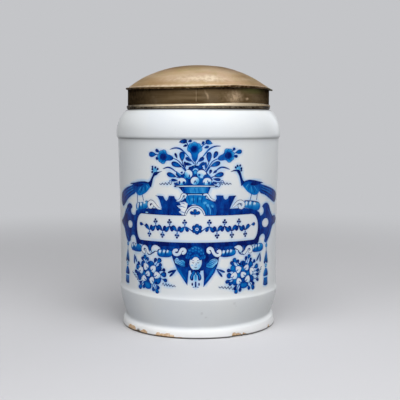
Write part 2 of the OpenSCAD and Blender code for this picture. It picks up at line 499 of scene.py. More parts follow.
def bloom(paint, tail, mouth, half_width):
    """A cup-shaped flower seen from the side, from its tail to its open mouth."""
    run = (mouth[0] - tail[0], mouth[1] - tail[1])
    size = math.hypot(*run)
    side = (-run[1] / size * half_width, run[0] / size * half_width)

    def at(t, s):
        return (tail[0] + run[0] * t + side[0] * s, tail[1] + run[1] * t + side[1] * s)

    def tone(u, z):
        x, y = u - tail[0], z - tail[1]
        t = (x * run[0] + y * run[1]) / size**2
        s = (x * side[0] + y * side[1]) / half_width**2
        stem = DEEP + (COBALT - DEEP) * smooth(0, 0.35, t)
        cup = INK + (MID + 0.06 - INK) * smooth(0.25, 0.8, math.hypot((t - 0.68) / 0.36, s))
        return stem + (cup - stem) * smooth(0.35, 0.55, t)

    half = [
        (0.1, 0.3), (0.25, 0.44), (0.4, 0.5), (0.52, 0.72), (0.66, 0.98), (0.8, 1), (0.93, 0.74),
        (1, 0.28),
    ]
    cup = [at(0, 0)] + [at(t, s) for t, s in half] + [at(0.97, 0)] + [at(t, -s) for t, s in half[::-1]]
    for share in (1, 0.7, 0.4):
        paint.blob(scaled(cup, at(0.66, 0), share), tone, 4)
    heart = at(0.68, 0)
    for k in (-2, 2, -1, 1, 0):
        lean = math.radians(46 * k)
        petal = at(0.68 + 0.21 * math.cos(lean), 0.6 * math.sin(lean))
        tip = at(0.68 + 0.4 * math.cos(lean), 1.1 * math.sin(lean))
        turn = math.degrees(math.atan2(tip[1] - heart[1], tip[0] - heart[0]))
        paint.disc(petal, (3.2, 2.9), DEEP, turn, 14)
        paint.disc(petal, (2.9, 2.6), shade(DEEP, MID - 0.1, heart, tip), turn, 14)
    paint.ball(heart, (3.6, 3.3), INK, DEEP)


# Leaves of the flower spray: middle, half length, half width, turn
SPRAY_LEAVES = [
    ((-14, 186.3), 3.7, 2, 10), ((-7.6, 186.7), 1.8, 1.3, 20), ((-12.2, 182.3), 2, 1.1, 20),
    ((9.9, 185.4), 3.3, 2.1, 160), ((4.2, 184.8), 1.9, 1.2, 55), ((7.5, 181), 2.3, 1.2, 20),
    ((-44.6, 174), 4.1, 2.4, 180), ((-39.2, 177.3), 2.4, 1.5, 150), ((-39.2, 170.6), 2.1, 1.5, 200),
    ((38.6, 176.4), 3.5, 2, 10), ((33.6, 178.8), 1.8, 1.4, 50), ((35.5, 172.5), 2.3, 1.4, -10),
    ((-20.5, 173), 2.8, 1.1, 112), ((-14.9, 172.3), 4.4, 2.5, 90), ((-8.4, 169.6), 3.6, 1.6, 152),
    ((-9, 165.4), 3.2, 1.4, 170), ((2.4, 169.5), 3.3, 1.7, 35), ((3.2, 165.2), 3.2, 1.6, 28),
    ((9.8, 171.6), 4.9, 2.4, 88), ((15.8, 173.8), 3.6, 1.9, 65), ((15.6, 165.1), 4.9, 2.2, 22),
    ((6.8, 163.8), 3.4, 1.1, 90), ((-20, 164.6), 5.2, 2.3, 160), ((-12.1, 165), 2.8, 1.1, 95),
    ((-25, 154.9), 4.8, 2.1, 162), ((-18.6, 155), 2.8, 1.5, 128), ((-15.4, 157.6), 1.1, 1, 0),
    ((-22.3, 150.4), 3.2, 1.3, 175), ((-21.4, 147.2), 1.4, 1, 190), ((19, 155.2), 4.8, 2.2, 14),
    ((15.4, 158.2), 2, 1.1, 35), ((11.2, 158.3), 2.1, 1.3, 70), ((17.2, 151.2), 3.6, 1.4, -8),
    ((15.2, 148), 2.3, 1.2, -15),
]
# Stems of the spray
SPRAY_STEMS = [
    [(-2.8, 168), (-2.8, 165), (-2.6, 161)], [(-23, 170.6), (-18, 168), (-12.6, 161.4), (-10, 157.6)],
    [(18.2, 170.4), (13, 167.6), (8.6, 161), (6.4, 157.6)], [(-14.9, 168), (-13.4, 163.6), (-11.2, 160)],
    [(9.8, 167), (8.4, 163.6), (6.4, 160)], [(-15.4, 162.9), (-12.6, 160), (-10.6, 157)],
    [(11.2, 163.2), (8.8, 160), (7, 157)], [(-20.6, 153.4), (-16.4, 152.6)], [(14.4, 154), (11.4, 152.6)],
    [(-9, 180.6), (-9.6, 183), (-10.6, 185.6)], [(3, 181), (4.6, 183), (7, 184.6)],
    [(-37.2, 172.6), (-39.2, 173.8), (-41, 174)], [(33, 174.6), (34.2, 175.2), (35.6, 175.8)],
    [(-5.4, 168), (-3.8, 165.6)], [(-0.4, 167.6), (-1.6, 165)],
]
# Long thin blades of the spray, each from its tip inwards
SPRAY_BLADES = [
    [(-26.8, 178.8), (-22, 180.2), (-17.4, 179.8), (-13.6, 177.2), (-8, 171.4)],
    [(21, 182), (15.4, 181.8), (10.6, 179.6), (7, 175.8), (3.6, 171.6)],
    [(-34, 160.6), (-29, 162.2), (-25, 161.2), (-19.6, 157.4)],
    [(30, 160.2), (24, 162.3), (19.6, 161.6), (13.4, 156.6)],
]


def flower_spray(paint):
    """Three blooms, their leaves and stems above the fruit."""
    for stem in SPRAY_STEMS:
        paint.stroke(stem, 1, DEEP - 0.04, (0.6, 0.8))
    for blade in SPRAY_BLADES:
        paint.stroke(blade, 1.6, shade(DEEP, COBALT, blade[0], blade[-1]), (0.1, 0.25))
    for place, half_long, half_wide, turn in SPRAY_LEAVES:
        paint.dab(place, half_long * 1.06, half_wide * 1.08, turn)
    bloom(paint, (-3.2, 167.4), (-3.3, 185), 6.6)
    bloom(paint, (-23, 170.6), (-38, 172.6), 6.2)
    bloom(paint, (17.8, 170), (33, 174.8), 6.2)


def fruit_bowl(paint):
    """A heap of round fruit in a low bowl, on a thin foot."""
    heap = [
        (-19.8, 145.2), (-20, 149), (-18, 152), (-15.4, 153.2), (-13.6, 153), (-13.2, 156), (-11.8, 159),
        (-9.4, 160.8), (-8.8, 161.4), (-6, 163.6), (-3.4, 164.4), (0, 164), (2.6, 162.5), (5.4, 160.4),
        (7.8, 157.2), (9.6, 153.6), (11.6, 151.8), (12.8, 148.6), (12.8, 145.2),
    ]
    paint.blob(heap, shade(DEEP, INK, (-3, 150), (-3, 163)), 4)
    left_leaf = [
        (-20.8, 159), (-18.6, 157.6), (-16.2, 155.8), (-14, 156.4), (-12.8, 158), (-10.8, 160), (-9, 158),
        (-12, 152), (-13.8, 152.8), (-16.2, 152.8), (-18.6, 154.6), (-20.4, 156.6),
    ]
    right_leaf = [
        (4.6, 161), (7.4, 158.2), (9.2, 156.2), (11.6, 153.6), (13.4, 150.4), (10, 150), (6, 152),
    ]
    for side in (left_leaf, right_leaf):
        paint.blob(side, shade(DEEP, INK, side[0], (-3, 150)), 4)
    paint.stroke([(-20, 158), (-18, 156), (-16, 154.2)], 1, MID)
    curl = [(13.4, 149.4), (16.8, 148.2), (19.8, 148.2), (20.6, 146), (19, 144), (17.4, 145.2)]
    paint.stroke(curl, 0.9, DEEP)
    fruits = [
        ((-9, 156.4), (3.6, 3.8), (-7.6, 158), (-12.6, 152.6)),
        ((3, 156.2), (4.3, 3.9), (3.4, 158.4), (1, 152.2)),
        ((-3, 150), (4, 3.7), (-4.6, 151.6), (0.6, 146.6)),
        ((-15.4, 149.2), (4.1, 3.5), (-15.4, 150), (-14, 145.6)),
        ((8.3, 149.2), (4, 3.5), (8, 150), (9.6, 145.6)),
    ]
    for mid, half, light, dark in fruits:
        paint.disc(mid, half, shade(BARE, MID, light, dark))
    dimples = [
        ((-12, 153.6), (0.9, 1.4), MID), ((-8.2, 152.7), (1.5, 0.9), MID), ((1, 155.5), (1.1, 1), DEEP),
        ((3.2, 153.8), (1.5, 1.5), PALE), ((-17.6, 148.2), (1.1, 1.8), DEEP),
        ((-13.3, 148), (1.3, 1.7), DEEP), ((9.8, 147.8), (1.1, 1.5), DEEP),
        ((5.4, 147.4), (0.8, 1.6), COBALT), ((8.7, 149.7), (0.6, 0.9), MID),
    ]
    for mid, half, tone in dimples:
        paint.disc(mid, half, tone, 0, 12)
    crest = [(-5, 159.2), (-3.9, 160.6), (-2.4, 161.1), (-1, 160.6), (0, 159.4)]
    creases = [
        ([(-8.3, 155.8), (-8.1, 154.4), (-8.6, 153)], 1.1, DEEP),
        ([(4.4, 152.8), (6, 154.6), (7, 156)], 1.5, DEEP),
        ([(-0.8, 153.2), (2, 152.2), (5, 152.4)], 0.9, COBALT),
        ([(-4, 147.6), (-2.8, 150), (-1.5, 147.4)], 0.9, DEEP), (crest, 2.6, COBALT), (crest, 1, PALE),
    ]
    for line, width, tone in creases:
        paint.stroke(line, width, tone)
    paint.ball((-2.6, 158), (1.7, 1.9), WASH, COBALT)
    paint.dab((-6.5, 162.1), 2.6, 1.3, 195)
    paint.dab((1.8, 162.8), 2.8, 1.4, -25)
    paint.disc((-3.7, 163.2), (0.5, 0.4), MID, 0, 8)

    def belly(u, z):
        return MID - 0.05 + (INK - MID + 0.05) * smooth(0.5, 1.15, abs(u + 1.5) / 12.5)

    bowl = [
        (-18.8, 144.4), (-16.6, 142), (-14.4, 139.4), (-13.2, 138), (9.2, 138), (10.2, 140.4),
        (11.8, 144.4),
    ]
    paint.lay(bowl, belly)
    ribs = [(-14.4, INK), (-11.2, DEEP), (-7.4, WASH), (-3, COBALT), (0.4, COBALT), (4, WASH), (7.6, DEEP)]
    for u, tone in ribs:
        paint.stroke([(u - 0.6, 143.4), (u + 0.2, 141), (u + 0.6, 138.8)], 1.1, (tone + MID) / 2)
    paint.stroke([(-13.6, 138.3), (-2, 138), (9.4, 138.3)], 0.9, INK, (0.8, 0.8))
    rim = [(-20.6, 144.8), (-2, 145.1), (15.6, 144.8)]
    paint.stroke([(-22.2, 144.2)] + rim + [(17.6, 144)], 2, INK, (0.3, 0.3))
    paint.stroke(rim, 0.9, 0.08, (0.7, 0.7))
    paint.stroke([(-10.6, 136.8), (-3, 136.8), (4.2, 136.8)], 2.3, INK, (0.9, 0.9))
    paint.stroke([(-9.6, 136.9), (-3, 136.9), (3.4, 136.9)], 1.1, 0.1, (0.9, 0.9))
    paint.squiggle((-24.6, 147.4), (-37.6, 146.4), 4, 1)
    paint.squiggle((19.4, 147.6), (31.6, 146.6), 4, 1)
    for u, z in [(-26, 149.4), (22.4, 149.2)]:
        paint.disc((u, z), (1.6, 1.2), COBALT, 0, 10)
        paint.disc((u, z), (0.8, 0.5), BARE, 0, 8)


def peacock(paint, tail, body, back, patch, neck, beak, tuft, dots, legs):
    """A bird that faces the fruit, with a long hanging tail and a dotted crest."""
    root, tip = middle([tail[0], tail[-1]]), tail[len(tail) // 2]
    for leg in legs:
        paint.stroke(leg, 0.8, DEEP, (1.6, 0.7))
    paint.blob(tail, shade(COBALT + 0.08, INK, root, tip))
    count = len(tail)
    plumes = [
        (0.12, INK, 1), (0.26, MID, 1.1), (0.4, DEEP, 1), (0.52, MID, 1.3), (0.66, INK, 1.1),
        (0.8, COBALT, 1),
    ]
    for share, tone, width in plumes:
        vein = []
        for i in range(1, count // 2):
            vein.append(between(tail[i], tail[count - i], share))
        paint.stroke(vein, width, shade(tone, INK, root, tip), (0.3, 0.2))
    paint.blob(body, shade(MID + 0.06, DEEP, middle(body[len(body) // 2:]), back[len(back) // 2]))
    for k in range(5):
        a, b = body[-2 - k], middle(body[1:4])
        feather = [between(a, b, t) for t in (0.15, 0.4, 0.6)]
        paint.stroke(feather, 0.9, DEEP if k % 2 else MID - 0.06, (0.2, 0.4))
    paint.blob(patch, INK)
    paint.stroke(back, 2, INK, (0.2, 0.5))
    paint.blob(neck, INK, 4)
    paint.ball(tuft, (2.5, 2.2), PALE, MID)
    paint.blob(beak, INK, 4)
    for dot in dots:
        paint.stroke([tuft, dot], 0.7, WASH)
        paint.disc(dot, (1.15, 1.15), INK, 0, 10)


def left_peacock(paint):
    """The bird at the left."""
    tail = [
        (-69.6, 144.8), (-75, 143.3), (-85, 140.6), (-94, 136.9), (-98.8, 133.6), (-100.2, 129),
        (-98.4, 124), (-94.8, 121.8), (-90, 123.8), (-82, 129.6), (-75, 133.4), (-68, 137),
    ]
    body = [
        (-46.6, 146), (-50, 147.2), (-55, 147.9), (-60, 147.3), (-66, 146), (-70, 144.8), (-70.4, 141.6),
        (-68.6, 138.6), (-66, 135.8), (-62.4, 134.4), (-58, 135.4), (-53.4, 137.6), (-49.6, 141),
        (-47, 144),
    ]
    back = [(-76.4, 145.1), (-69, 145.6), (-62, 146.8), (-55, 147.4), (-49, 146.8)]
    patch = [(-56, 145.4), (-61, 145.8), (-67, 145), (-70, 143.6), (-62, 142.9)]
    neck = [
        (-50.2, 147.4), (-48.4, 148.8), (-46.8, 151.4), (-45.3, 154), (-44, 156.6), (-42.4, 157.6),
        (-40.6, 156.8), (-40.8, 155.2), (-43.2, 153.4), (-44.8, 150.2), (-45.7, 146.8), (-47.4, 143),
    ]
    beak = [
        (-43.4, 156.4), (-41.8, 157.7), (-39.6, 157.7), (-34.6, 158.5), (-38.2, 156.7), (-40.6, 154.6),
        (-42.4, 154.6),
    ]
    dots = [(-45.4, 157.4), (-45.2, 160.1), (-45, 162.3), (-41.8, 161.9), (-39.3, 160.5)]
    legs = [[(-65, 136), (-65.1, 132), (-65.2, 127.8)], [(-58.4, 136), (-57.4, 132.6), (-56.6, 129.8)]]
    peacock(paint, tail, body, back, patch, neck, beak, (-42.3, 159), dots, legs)


def right_peacock(paint):
    """The bird at the right."""
    tail = [
        (65, 145), (71, 144.3), (81, 141.9), (92, 138.9), (100, 136.2), (105, 133.4), (105.8, 130.4),
        (102.6, 127.2), (97.6, 125.4), (91, 127), (82, 130.8), (74, 134.4), (66, 137.2),
    ]
    body = [
        (44.8, 148.2), (48.4, 149.2), (53, 149.4), (58, 148.6), (64, 146.6), (67, 144), (66.4, 140.4),
        (63.8, 136.6), (59.6, 135), (55, 135.8), (50, 138.4), (46.4, 141.6), (43.4, 145.4),
    ]
    back = [(70.6, 146.2), (64, 147.1), (57, 148.4), (51, 149.1), (46, 148.4)]
    patch = [(52.6, 145.4), (57, 144.2), (62, 144.6), (69, 146.1), (62, 147.4), (56, 147.6)]
    neck = [
        (46, 148.2), (44.4, 149.4), (43.1, 152), (42, 155.2), (40.8, 158.4), (39, 159.6), (37.2, 159),
        (37.6, 157.4), (39.2, 155), (40.5, 151.6), (41.4, 148), (42.4, 144.4),
    ]
    beak = [
        (40.4, 158.2), (39.4, 159.8), (36.6, 160), (33.6, 159.6), (30.4, 157.9), (34.4, 158.5),
        (37.4, 158), (39.2, 156.4),
    ]
    dots = [(35.8, 162), (37.7, 163.5), (40.6, 163.7), (42, 161), (41.9, 159.1)]
    legs = [[(54.6, 137), (53.8, 133.6), (52.9, 130.6)], [(62.4, 137), (62, 133.4), (61.4, 129.8)]]
    peacock(paint, tail, body, back, patch, neck, beak, (38.6, 160.9), dots, legs)


def cartouche_ground(paint):
    """The dark ground of the frame with its two pointed side finials."""
    left = [
        (-101.8, 106), (-96.5, 109.4), (-91.8, 113.2), (-89, 117.2), (-85.6, 120.4), (-83.4, 123.9),
        (-79, 126), (-75, 124.8), (-73.8, 122.3), (-76.2, 120), (-75.5, 116.8), (-72, 115), (-68.5, 116),
        (-66.3, 119.2), (-62, 120.4), (-58, 112), (-58, 98), (-62, 88.6), (-67.6, 88), (-68.6, 91),
        (-70.5, 94.8), (-74, 95.4), (-77.4, 92.8), (-78.4, 89.4), (-83, 87.6), (-87.2, 91), (-90, 96.4),
        (-92.2, 100.4), (-96.5, 103),
    ]
    right = [
        (107.8, 108), (101, 104.2), (94.2, 103.4), (90.2, 100), (87.2, 95.2), (83.2, 91), (78.6, 87.4),
        (74.4, 89.2), (75.8, 92.2), (74.8, 95.4), (71, 96.6), (67, 94.2), (65.3, 90.2), (63.5, 87.6),
        (58, 89), (56, 98), (56, 112), (60, 119.8), (63, 119.6), (64.4, 116.6), (68, 114.8), (71.8, 116.3),
        (73, 119.5), (71.8, 122), (70.3, 123.2), (72.3, 125.2), (76, 126.4), (80, 125.8), (84, 122.5),
        (86.2, 118.4), (90, 114.5), (93.4, 112.2), (98.4, 112.6), (103.4, 110.6),
    ]
    paint.blob(left, shade(INK, DEEP, (-100, 106), (-70, 106)))
    paint.blob(right, shade(INK, DEEP, (106, 108), (70, 106)))
    bar = [
        (-68, 90), (-69, 105), (-68, 118.6), (-62, 121), (-50, 123), (-36, 123.6), (-16, 125), (-3, 127),
        (16, 125), (31, 123.6), (45, 123.6), (56, 121.4), (63, 119.4), (67, 116), (67.6, 105), (66, 91),
        (61, 88), (40, 86.4), (0, 86), (-40, 86.4), (-61, 87.6),
    ]
    paint.blob(bar, shade(INK, DEEP + 0.03, (0, 90), (0, 124)))
    for hole, half in [((-78.5, 105.5), (4.3, 3.7)), ((76.5, 107), (6, 4.4))]:
        paint.disc(hole, (half[0] + 0.6, half[1] + 0.6), INK)
        paint.disc(hole, half, BARE)
    for edge in [[(-88, 114.4), (-84, 118.6), (-80, 121.6)], [(-88, 98), (-85, 94), (-81.4, 91.4)],
                 [(89, 111.6), (84.6, 116), (80.4, 121)], [(86, 99.4), (83, 95.4), (79.4, 92)]]:
        paint.stroke(edge, 1.2, COBALT)


# Dark blocks of the strapwork, above and below the panel
CROWN_BLOCKS = [
    [
        (-42.6, 135.5), (-39.8, 134.4), (-38, 131.6), (-36.7, 128.2), (-35.4, 123.4), (-20, 124),
        (-19.2, 131.4), (-20.6, 132.2), (-21.9, 133.4), (-22.6, 135.6), (-28, 135.7), (-29, 132.6),
        (-30.4, 130.9), (-31.8, 131.8), (-33.8, 135.3),
    ],
    [
        (-20.6, 123.6), (-20.2, 129.8), (-17.6, 130.4), (-15.2, 131.6), (-13.2, 133.2), (-10.8, 133.8),
        (-8.4, 135.4), (-6, 130), (-6, 123),
    ],
    [(6, 124), (5.6, 134), (9, 133.2), (11.4, 131.8), (14, 130.8), (16.4, 131), (16.6, 124)],
    [(-53.6, 88), (-46.4, 88), (-47.4, 85.6), (-47.8, 83), (-49.6, 81.8), (-51.4, 84), (-52.8, 86)],
    [(51.2, 88), (44.2, 88), (45.2, 85.6), (45.6, 83.4), (47, 82.2), (48.6, 84), (50, 86)],
    [(-39, 83), (-38.6, 88), (-23, 88), (-22.4, 83.6)], [(19.6, 84), (20, 88), (36, 88), (36.6, 83.4)],
    [
        (37, 135.7), (35.4, 133.8), (33.3, 129.8), (30.4, 123.6), (15.6, 124.4), (16, 131.2),
        (17.2, 133.4), (16.5, 136.4), (23.6, 136.2), (24.2, 133.4), (25.9, 132.2), (28, 133),
        (29.2, 135.6),
    ],
]


def roll(paint, outline, lights, cuts):
    """A rolled strap end: blue, darker below, with light ribs and dark cuts across it."""
    paint.blob(outline, DEEP)
    mid = middle(outline)
    low, high = min(z for u, z in outline), max(z for u, z in outline)
    inner = [(mid[0] + (u - mid[0]) * 0.96, mid[1] + (z - mid[1]) * 0.86) for u, z in outline]
    # The rolls below the panel are deeper in tone
    deep = 0.16 if mid[1] < 100 else 0
    tone = shade(WASH + deep, COBALT + deep / 2, (mid[0], high - 1.2), (mid[0], low + 0.8))
    paint.blob(inner, tone)
    for (u, z), (half_u, half_z) in lights:
        foot = z - half_z - 1.4
        rib = [(u + 0.7, z + half_z + 0.3), (u + 0.1, z), (u - 0.4, foot)]
        paint.stroke(rib, 1.5 * half_u, shade(BARE, MID, (u, z), (u, foot)), (0.9, 0.1))
    for u, bottom, top in cuts:
        paint.stroke([(u + 0.7, top), (u, (bottom + top) / 2), (u - 0.3, bottom)], 0.8, INK, (0.8, 0.2))


# Rolls of the strapwork: outline, light ribs, dark cuts
ROLLS = [
    (
        [
            (-66.9, 121.4), (-67.4, 124.4), (-66, 127.3), (-63.2, 127.8), (-58, 128.5), (-55, 129.5),
            (-51.8, 130.1), (-50.2, 127.4), (-50.8, 124), (-54, 122.4), (-58.5, 121.5), (-63, 120.4),
        ],
        [((-64.8, 124.2), (1.3, 2.8)), ((-60.5, 126.1), (1.5, 1.3)), ((-55.6, 128), (1.6, 0.8))],
        [(-62.9, 121.8, 127.6), (-58, 122.4, 128.2)],
    ),
    (
        [
            (46.4, 124.2), (45.9, 129.8), (52, 129.6), (60, 128.6), (65, 127.4), (67.2, 124.6),
            (66.4, 121.8), (63.6, 120), (59, 120.4), (54, 121.8), (50, 123),
        ],
        [((48.2, 127.4), (1.3, 1.8)), ((52.9, 127.6), (1.5, 1.5)), ((58.8, 126.8), (2, 0.8))],
        [(50.6, 123.8, 129.2), (55.6, 122.8, 128.8)],
    ),
    (
        [
            (-77.2, 83.4), (-76.4, 86.2), (-73.6, 88.2), (-69.5, 87.8), (-64, 87.6), (-60.6, 86.4),
            (-59.4, 83.6), (-61, 80.6), (-66, 79.9), (-72, 80.1), (-75.8, 80.9),
        ],
        [((-75, 85), (1.3, 1.6)), ((-72, 86.5), (1.3, 1)), ((-69.2, 85.9), (1, 1.2))],
        [(-73.4, 82, 87.4), (-70.6, 83, 87.4)],
    ),
    (
        [
            (-41, 80.6), (-40, 83.6), (-37, 84.8), (-31, 84.9), (-26.8, 84.2), (-25, 81.6), (-26.4, 78.4),
            (-31, 77.4), (-37, 77.4), (-40, 78.4),
        ],
        [((-38, 82.7), (1.5, 1.2)), ((-33.6, 83), (1.4, 1)), ((-30, 83.1), (1.2, 0.9))],
        [(-35.8, 79.4, 84.2), (-31.8, 79.8, 84.2)],
    ),
    (
        [
            (20.4, 81.6), (21.6, 84), (25, 85), (30, 85.2), (34.4, 84.9), (37, 82.6), (35.8, 79.6),
            (31, 78.2), (25, 77.9), (21.4, 78.8),
        ],
        [((24.2, 82.8), (1.5, 1.2)), ((28.2, 83.3), (1.2, 1)), ((31.6, 83.5), (1.4, 0.9))],
        [(26.2, 80, 84.4), (29.9, 80.4, 84.6)],
    ),
    (
        [
            (55.6, 83.4), (56.8, 86.2), (60, 87.6), (65, 88), (70, 87.8), (72.8, 85.4), (72.4, 82),
            (69, 80.2), (63, 79.9), (58, 80.4),
        ],
        [((58.2, 85), (1.4, 1.3)), ((61.5, 85.8), (1.3, 1)), ((65.6, 86), (1.5, 0.9))],
        [(59.8, 82, 86.8), (63.4, 82.4, 87.2)],
    ),
]
# Bare scrolls of the strapwork: line, width, share of it left at the tail, dark hook inside the curl
VOLUTES = [
    (
        [
            (-46, 125.6), (-47, 124.3), (-49, 124.2), (-50, 125.8), (-49.6, 128), (-47.6, 129.4),
            (-45.2, 128.6), (-43, 126.5), (-41, 124.7), (-39, 123.4), (-36, 122.8),
        ],
        2.2, 0.2, [(-48.5, 126.1), (-47.5, 127.1), (-46.2, 127)],
    ),
    (
        [
            (40.4, 126), (41, 124.4), (43, 123.9), (44.7, 125.5), (44.7, 127.9), (42, 129.6),
            (38.8, 129.2), (35.6, 126.8), (33, 124.5),
        ],
        2.3, 0.2, [(41, 126.9), (42.2, 127.6), (43.4, 126.9)],
    ),
    (
        [
            (-12.2, 134.6), (-11.4, 136), (-12.6, 137.3), (-14.6, 137), (-15.5, 135), (-16.4, 133),
            (-18.2, 131.6), (-20.4, 131),
        ],
        1.2, 0.3, [(-13.6, 135.2), (-13.2, 136)],
    ),
    (
        [
            (6, 134.4), (5, 135.8), (6, 137.2), (8.2, 137.1), (9.6, 135.3), (10.9, 133.6), (12.8, 132.3),
            (15.4, 131.9),
        ],
        1.2, 0.3, [(7.2, 135), (6.8, 135.9)],
    ),
    (
        [
            (-56.5, 80.6), (-58, 81.3), (-59, 83), (-58, 85.2), (-55.8, 86), (-53.4, 84.8), (-52.3, 82.2),
            (-50.8, 80.4), (-49, 79.9),
        ],
        2.2, 0.5, [(-56.6, 82.6), (-56.2, 83.8), (-55.2, 83.6)],
    ),
    (
        [
            (46, 80.4), (48.4, 82.6), (49.8, 85), (51.9, 86.1), (54.3, 85.7), (55.5, 83.6), (54.8, 81.5),
            (53, 81.2),
        ],
        2.2, 0.8, [(51.8, 82.8), (52.6, 83.8), (53.4, 83.6)],
    ),
    (
        [
            (-20.8, 84.8), (-22.8, 84.4), (-23.6, 82.5), (-22.4, 80.8), (-20, 80.5), (-18, 81.7),
            (-17, 83.8), (-15.5, 85.7), (-13.6, 85.8), (-12.5, 84.4), (-13.1, 82.8), (-14.4, 82),
        ],
        2.2, 1, [(-21.6, 82.3), (-20.6, 83)],
    ),
    (
        [
            (10.3, 82.8), (9.1, 84.1), (9.5, 86), (11.3, 86.8), (13.1, 85.7), (14, 83.5), (15.5, 81.1),
            (17.8, 79.8), (20.1, 80.3), (21, 82.2), (20.3, 84), (18.8, 83.4),
        ],
        2.2, 1, [(18.2, 81.8), (19, 82.4)],
    ),
]
# Bare comma-shaped lobes between the lower rolls, and the swoops under them
LOBES = [
    [
        (-47.8, 82), (-48, 85), (-46, 87.8), (-42.8, 88.8), (-39.5, 87.8), (-37, 85.4), (-39.5, 84.3),
        (-41, 82.5), (-43, 82.4), (-45.3, 80.8), (-47, 81),
    ],
    [
        (34.5, 86.8), (37, 88.2), (40, 88.8), (43, 87.6), (44.8, 85), (44.2, 82.6), (42.5, 81), (41, 81.5),
        (40.2, 83), (38.8, 84.2), (36.4, 85.4),
    ],
]
SWOOPS = [
    [(-53, 79.5), (-50.5, 78.6), (-47.8, 79.6), (-45, 81.4), (-43.4, 82.6)],
    [(39.5, 82.8), (41, 80.8), (43.2, 79.6), (46, 79.4)],
    [(43, 81.5), (45, 82.6), (46.6, 84.6)],
]


def strapwork(paint):
    """The blocks, rolls and bare scrolls that curl round the frame."""
    for block in CROWN_BLOCKS:
        paint.lay(block, shade(DEEP, INK, middle(block), block[0]))
    for rolled in ROLLS:
        roll(paint, *rolled)
    for line, width, tail, hook in VOLUTES:
        paint.scroll(line, width, tail)
        paint.stroke(hook, 0.8, INK, (0.6, 0.6))
    paint.stroke([(45.6, 130.6), (52, 130), (60, 128.9), (65, 127.6)], 0.8, INK)
    for lobe in LOBES:
        paint.blob(lobe, shade(BARE, PALE, (lobe[0][0], 86), (lobe[0][0], 80)))
        paint.stroke(lobe + lobe[:1], 0.7, INK, (1, 1))
    for swoop in SWOOPS:
        paint.stroke(swoop, 1.1, INK)


def centre_piece(paint):
    """The arch over the panel, between a drape and a bare pointed leaf."""
    drape = [
        (-10.6, 136.2), (5, 136.4), (7.6, 132.6), (14.6, 129.6), (17, 124), (16.2, 117.8), (6.8, 117.8),
        (4, 124), (-3, 128.2), (-9.4, 128),
    ]
    paint.blob(drape, shade(COBALT, MID, (14, 120), (-6, 134)), 4)
    for place, half in [((-5, 132.7), (2.4, 2)), ((6.2, 129.4), (2, 1.4)), ((8.8, 127), (1.8, 1.6)),
                        ((13, 126.2), (1.6, 1.8)), ((1.4, 133.4), (1.5, 1.6))]:
        paint.ball(place, half, WASH, MID)
    for k in range(4):
        paint.stroke([(-8 + 3.6 * k, 129.2), (-8.6 + 4 * k, 132.6), (-9 + 4.4 * k, 136)], 0.8, DEEP - 0.06)
    for k in range(3):
        fold = [(6.4 + 2.6 * k, 128.4 - k), (8.4 + 2.6 * k, 123.4), (8.6 + 2.7 * k, 118.4)]
        paint.stroke(fold, 0.9, WASH if k == 1 else DEEP)
    leaf = [
        (-12.2, 117.8), (-15.2, 118.4), (-18.4, 120.9), (-15.8, 122.6), (-20.3, 126.6), (-16.2, 127.2),
        (-17.4, 129.6), (-12.6, 130.4), (-9.8, 128.6), (-10.6, 124.8), (-12, 121.4),
    ]
    paint.lay(leaf, BARE)
    for tip in [(-17.4, 121), (-18.8, 126.2), (-16, 129.2)]:
        paint.stroke([(-12.2, tip[1] - 1.2), ((tip[0] - 12.2) / 2, tip[1] - 0.2), tip], 0.6, COBALT)
    arch = [(-13.2, 116.6)] + oval((-3, 116.8), (10.2, 11), 180, 0, 20) + [(7.2, 116.6)]
    for across, up, tone in [(1, 1, INK), (0.93, 0.93, BARE), (0.83, 0.83, INK), (0.77, 0.78, BARE)]:
        paint.lay([(-3 + (u + 3) * across, 116.2 + (z - 116.2) * up) for u, z in arch], tone)


